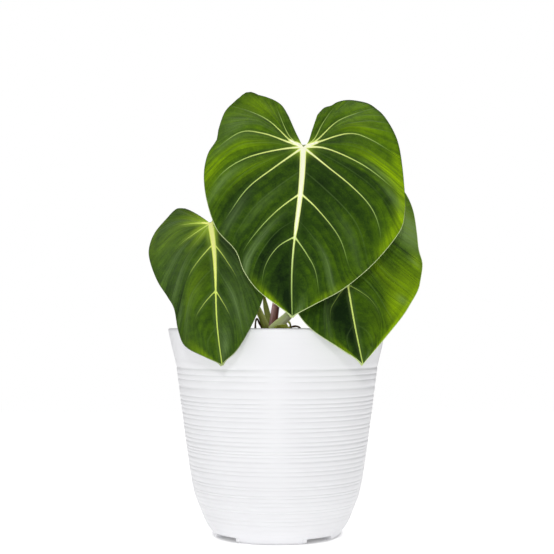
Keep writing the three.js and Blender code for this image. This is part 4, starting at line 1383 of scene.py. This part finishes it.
# %% [markdown]
# The stage is a plain white floor in a white room, lit like a product shot.
#
# The key light stands behind the camera and well above it. It is small, so that one leaf throws
# a narrow, clear shadow on the next. A weak one close to the lens reaches the stalks under the
# leaves. Two at the sides even out the pot, and one high above keeps its rim and the floor white.
# The white surroundings do the rest. The floor glows a little, but not right under the pot, so
# that its foot keeps a thin shadow.

# %% Floor and light
SHADOW_RADIUS, GLOW_RADIUS, ROOM_LIGHT = 0.044, 0.05, 0.335
start_clean()
bpy.ops.mesh.primitive_plane_add(size=2.4)
floor = bpy.context.object
floor.name = "floor"
floor_white, tree, shader = finish("floor_white", Roughness=0.9, Specular_IOR_Level=0.1,
                                   Emission_Color=(1, 1, 1, 1))
place = object_place(tree)
away = add_node(tree, "VectorMath", {0: place}, operation="LENGTH").outputs["Value"]
glow = remap(tree, away, SHADOW_RADIUS, GLOW_RADIUS, 0.08, 0.5)
tree.links.new(glow, shader.inputs["Emission Strength"])
cloud = speckle(tree, place, 2, 2)
surface(tree, shader, mix(tree, cloud, colour(250, 250, 250), colour(253, 253, 253)))
floor.data.materials.append(floor_white)


def soft_light(name, place, target, size, power):
    """A round lamp. Its place, target and size are in metres and its power in watts."""
    lamp = bpy.data.lights.new(name, "AREA")
    lamp.shape, lamp.size, lamp.energy = "DISK", size, power
    light = bpy.data.objects.new(name, lamp)
    light.location = place
    light.rotation_euler = (Vector(target) - Vector(place)).to_track_quat("-Z", "Y").to_euler()
    bpy.context.scene.collection.objects.link(light)


soft_light("key", (-0.1, -1.9, 0.77), (0, 0, 0.2), 0.14, 7.6)
soft_light("lens", (0, -1.2, 0.152), (0, 0, 0.16), 0.12, 2.1)
soft_light("left", (-1.7, -0.5, 0.25), (0, 0, 0.15), 0.8, 3.3)
soft_light("right", (1.8, 0.1, 0.4), (0, 0, 0.15), 1.0, 0.5)
soft_light("top", (0.2, 0.5, 2.1), (0, 0, 0.1), 1.2, 13.4)
room = bpy.data.worlds.new("white_room")
room.use_nodes = True
tree = room.node_tree
# the camera sees the room as plain white, and the room lights the plant with a third of that
seen = add_node(tree, "LightPath", {}).outputs["Is Camera Ray"]
strength = add_node(tree, "MapRange", {"Value": seen, "To Min": ROOM_LIGHT, "To Max": 1.0}).outputs[0]
tree.links.new(strength, tree.nodes["Background"].inputs["Strength"])
tree.nodes["Background"].inputs["Color"].default_value = (1, 1, 1, 1)
bpy.context.scene.world = room
bpy.context.scene.view_settings.view_transform = "Standard"
print("five soft lights and a white room")

# %% Finish
bpy.context.view_layer.update()
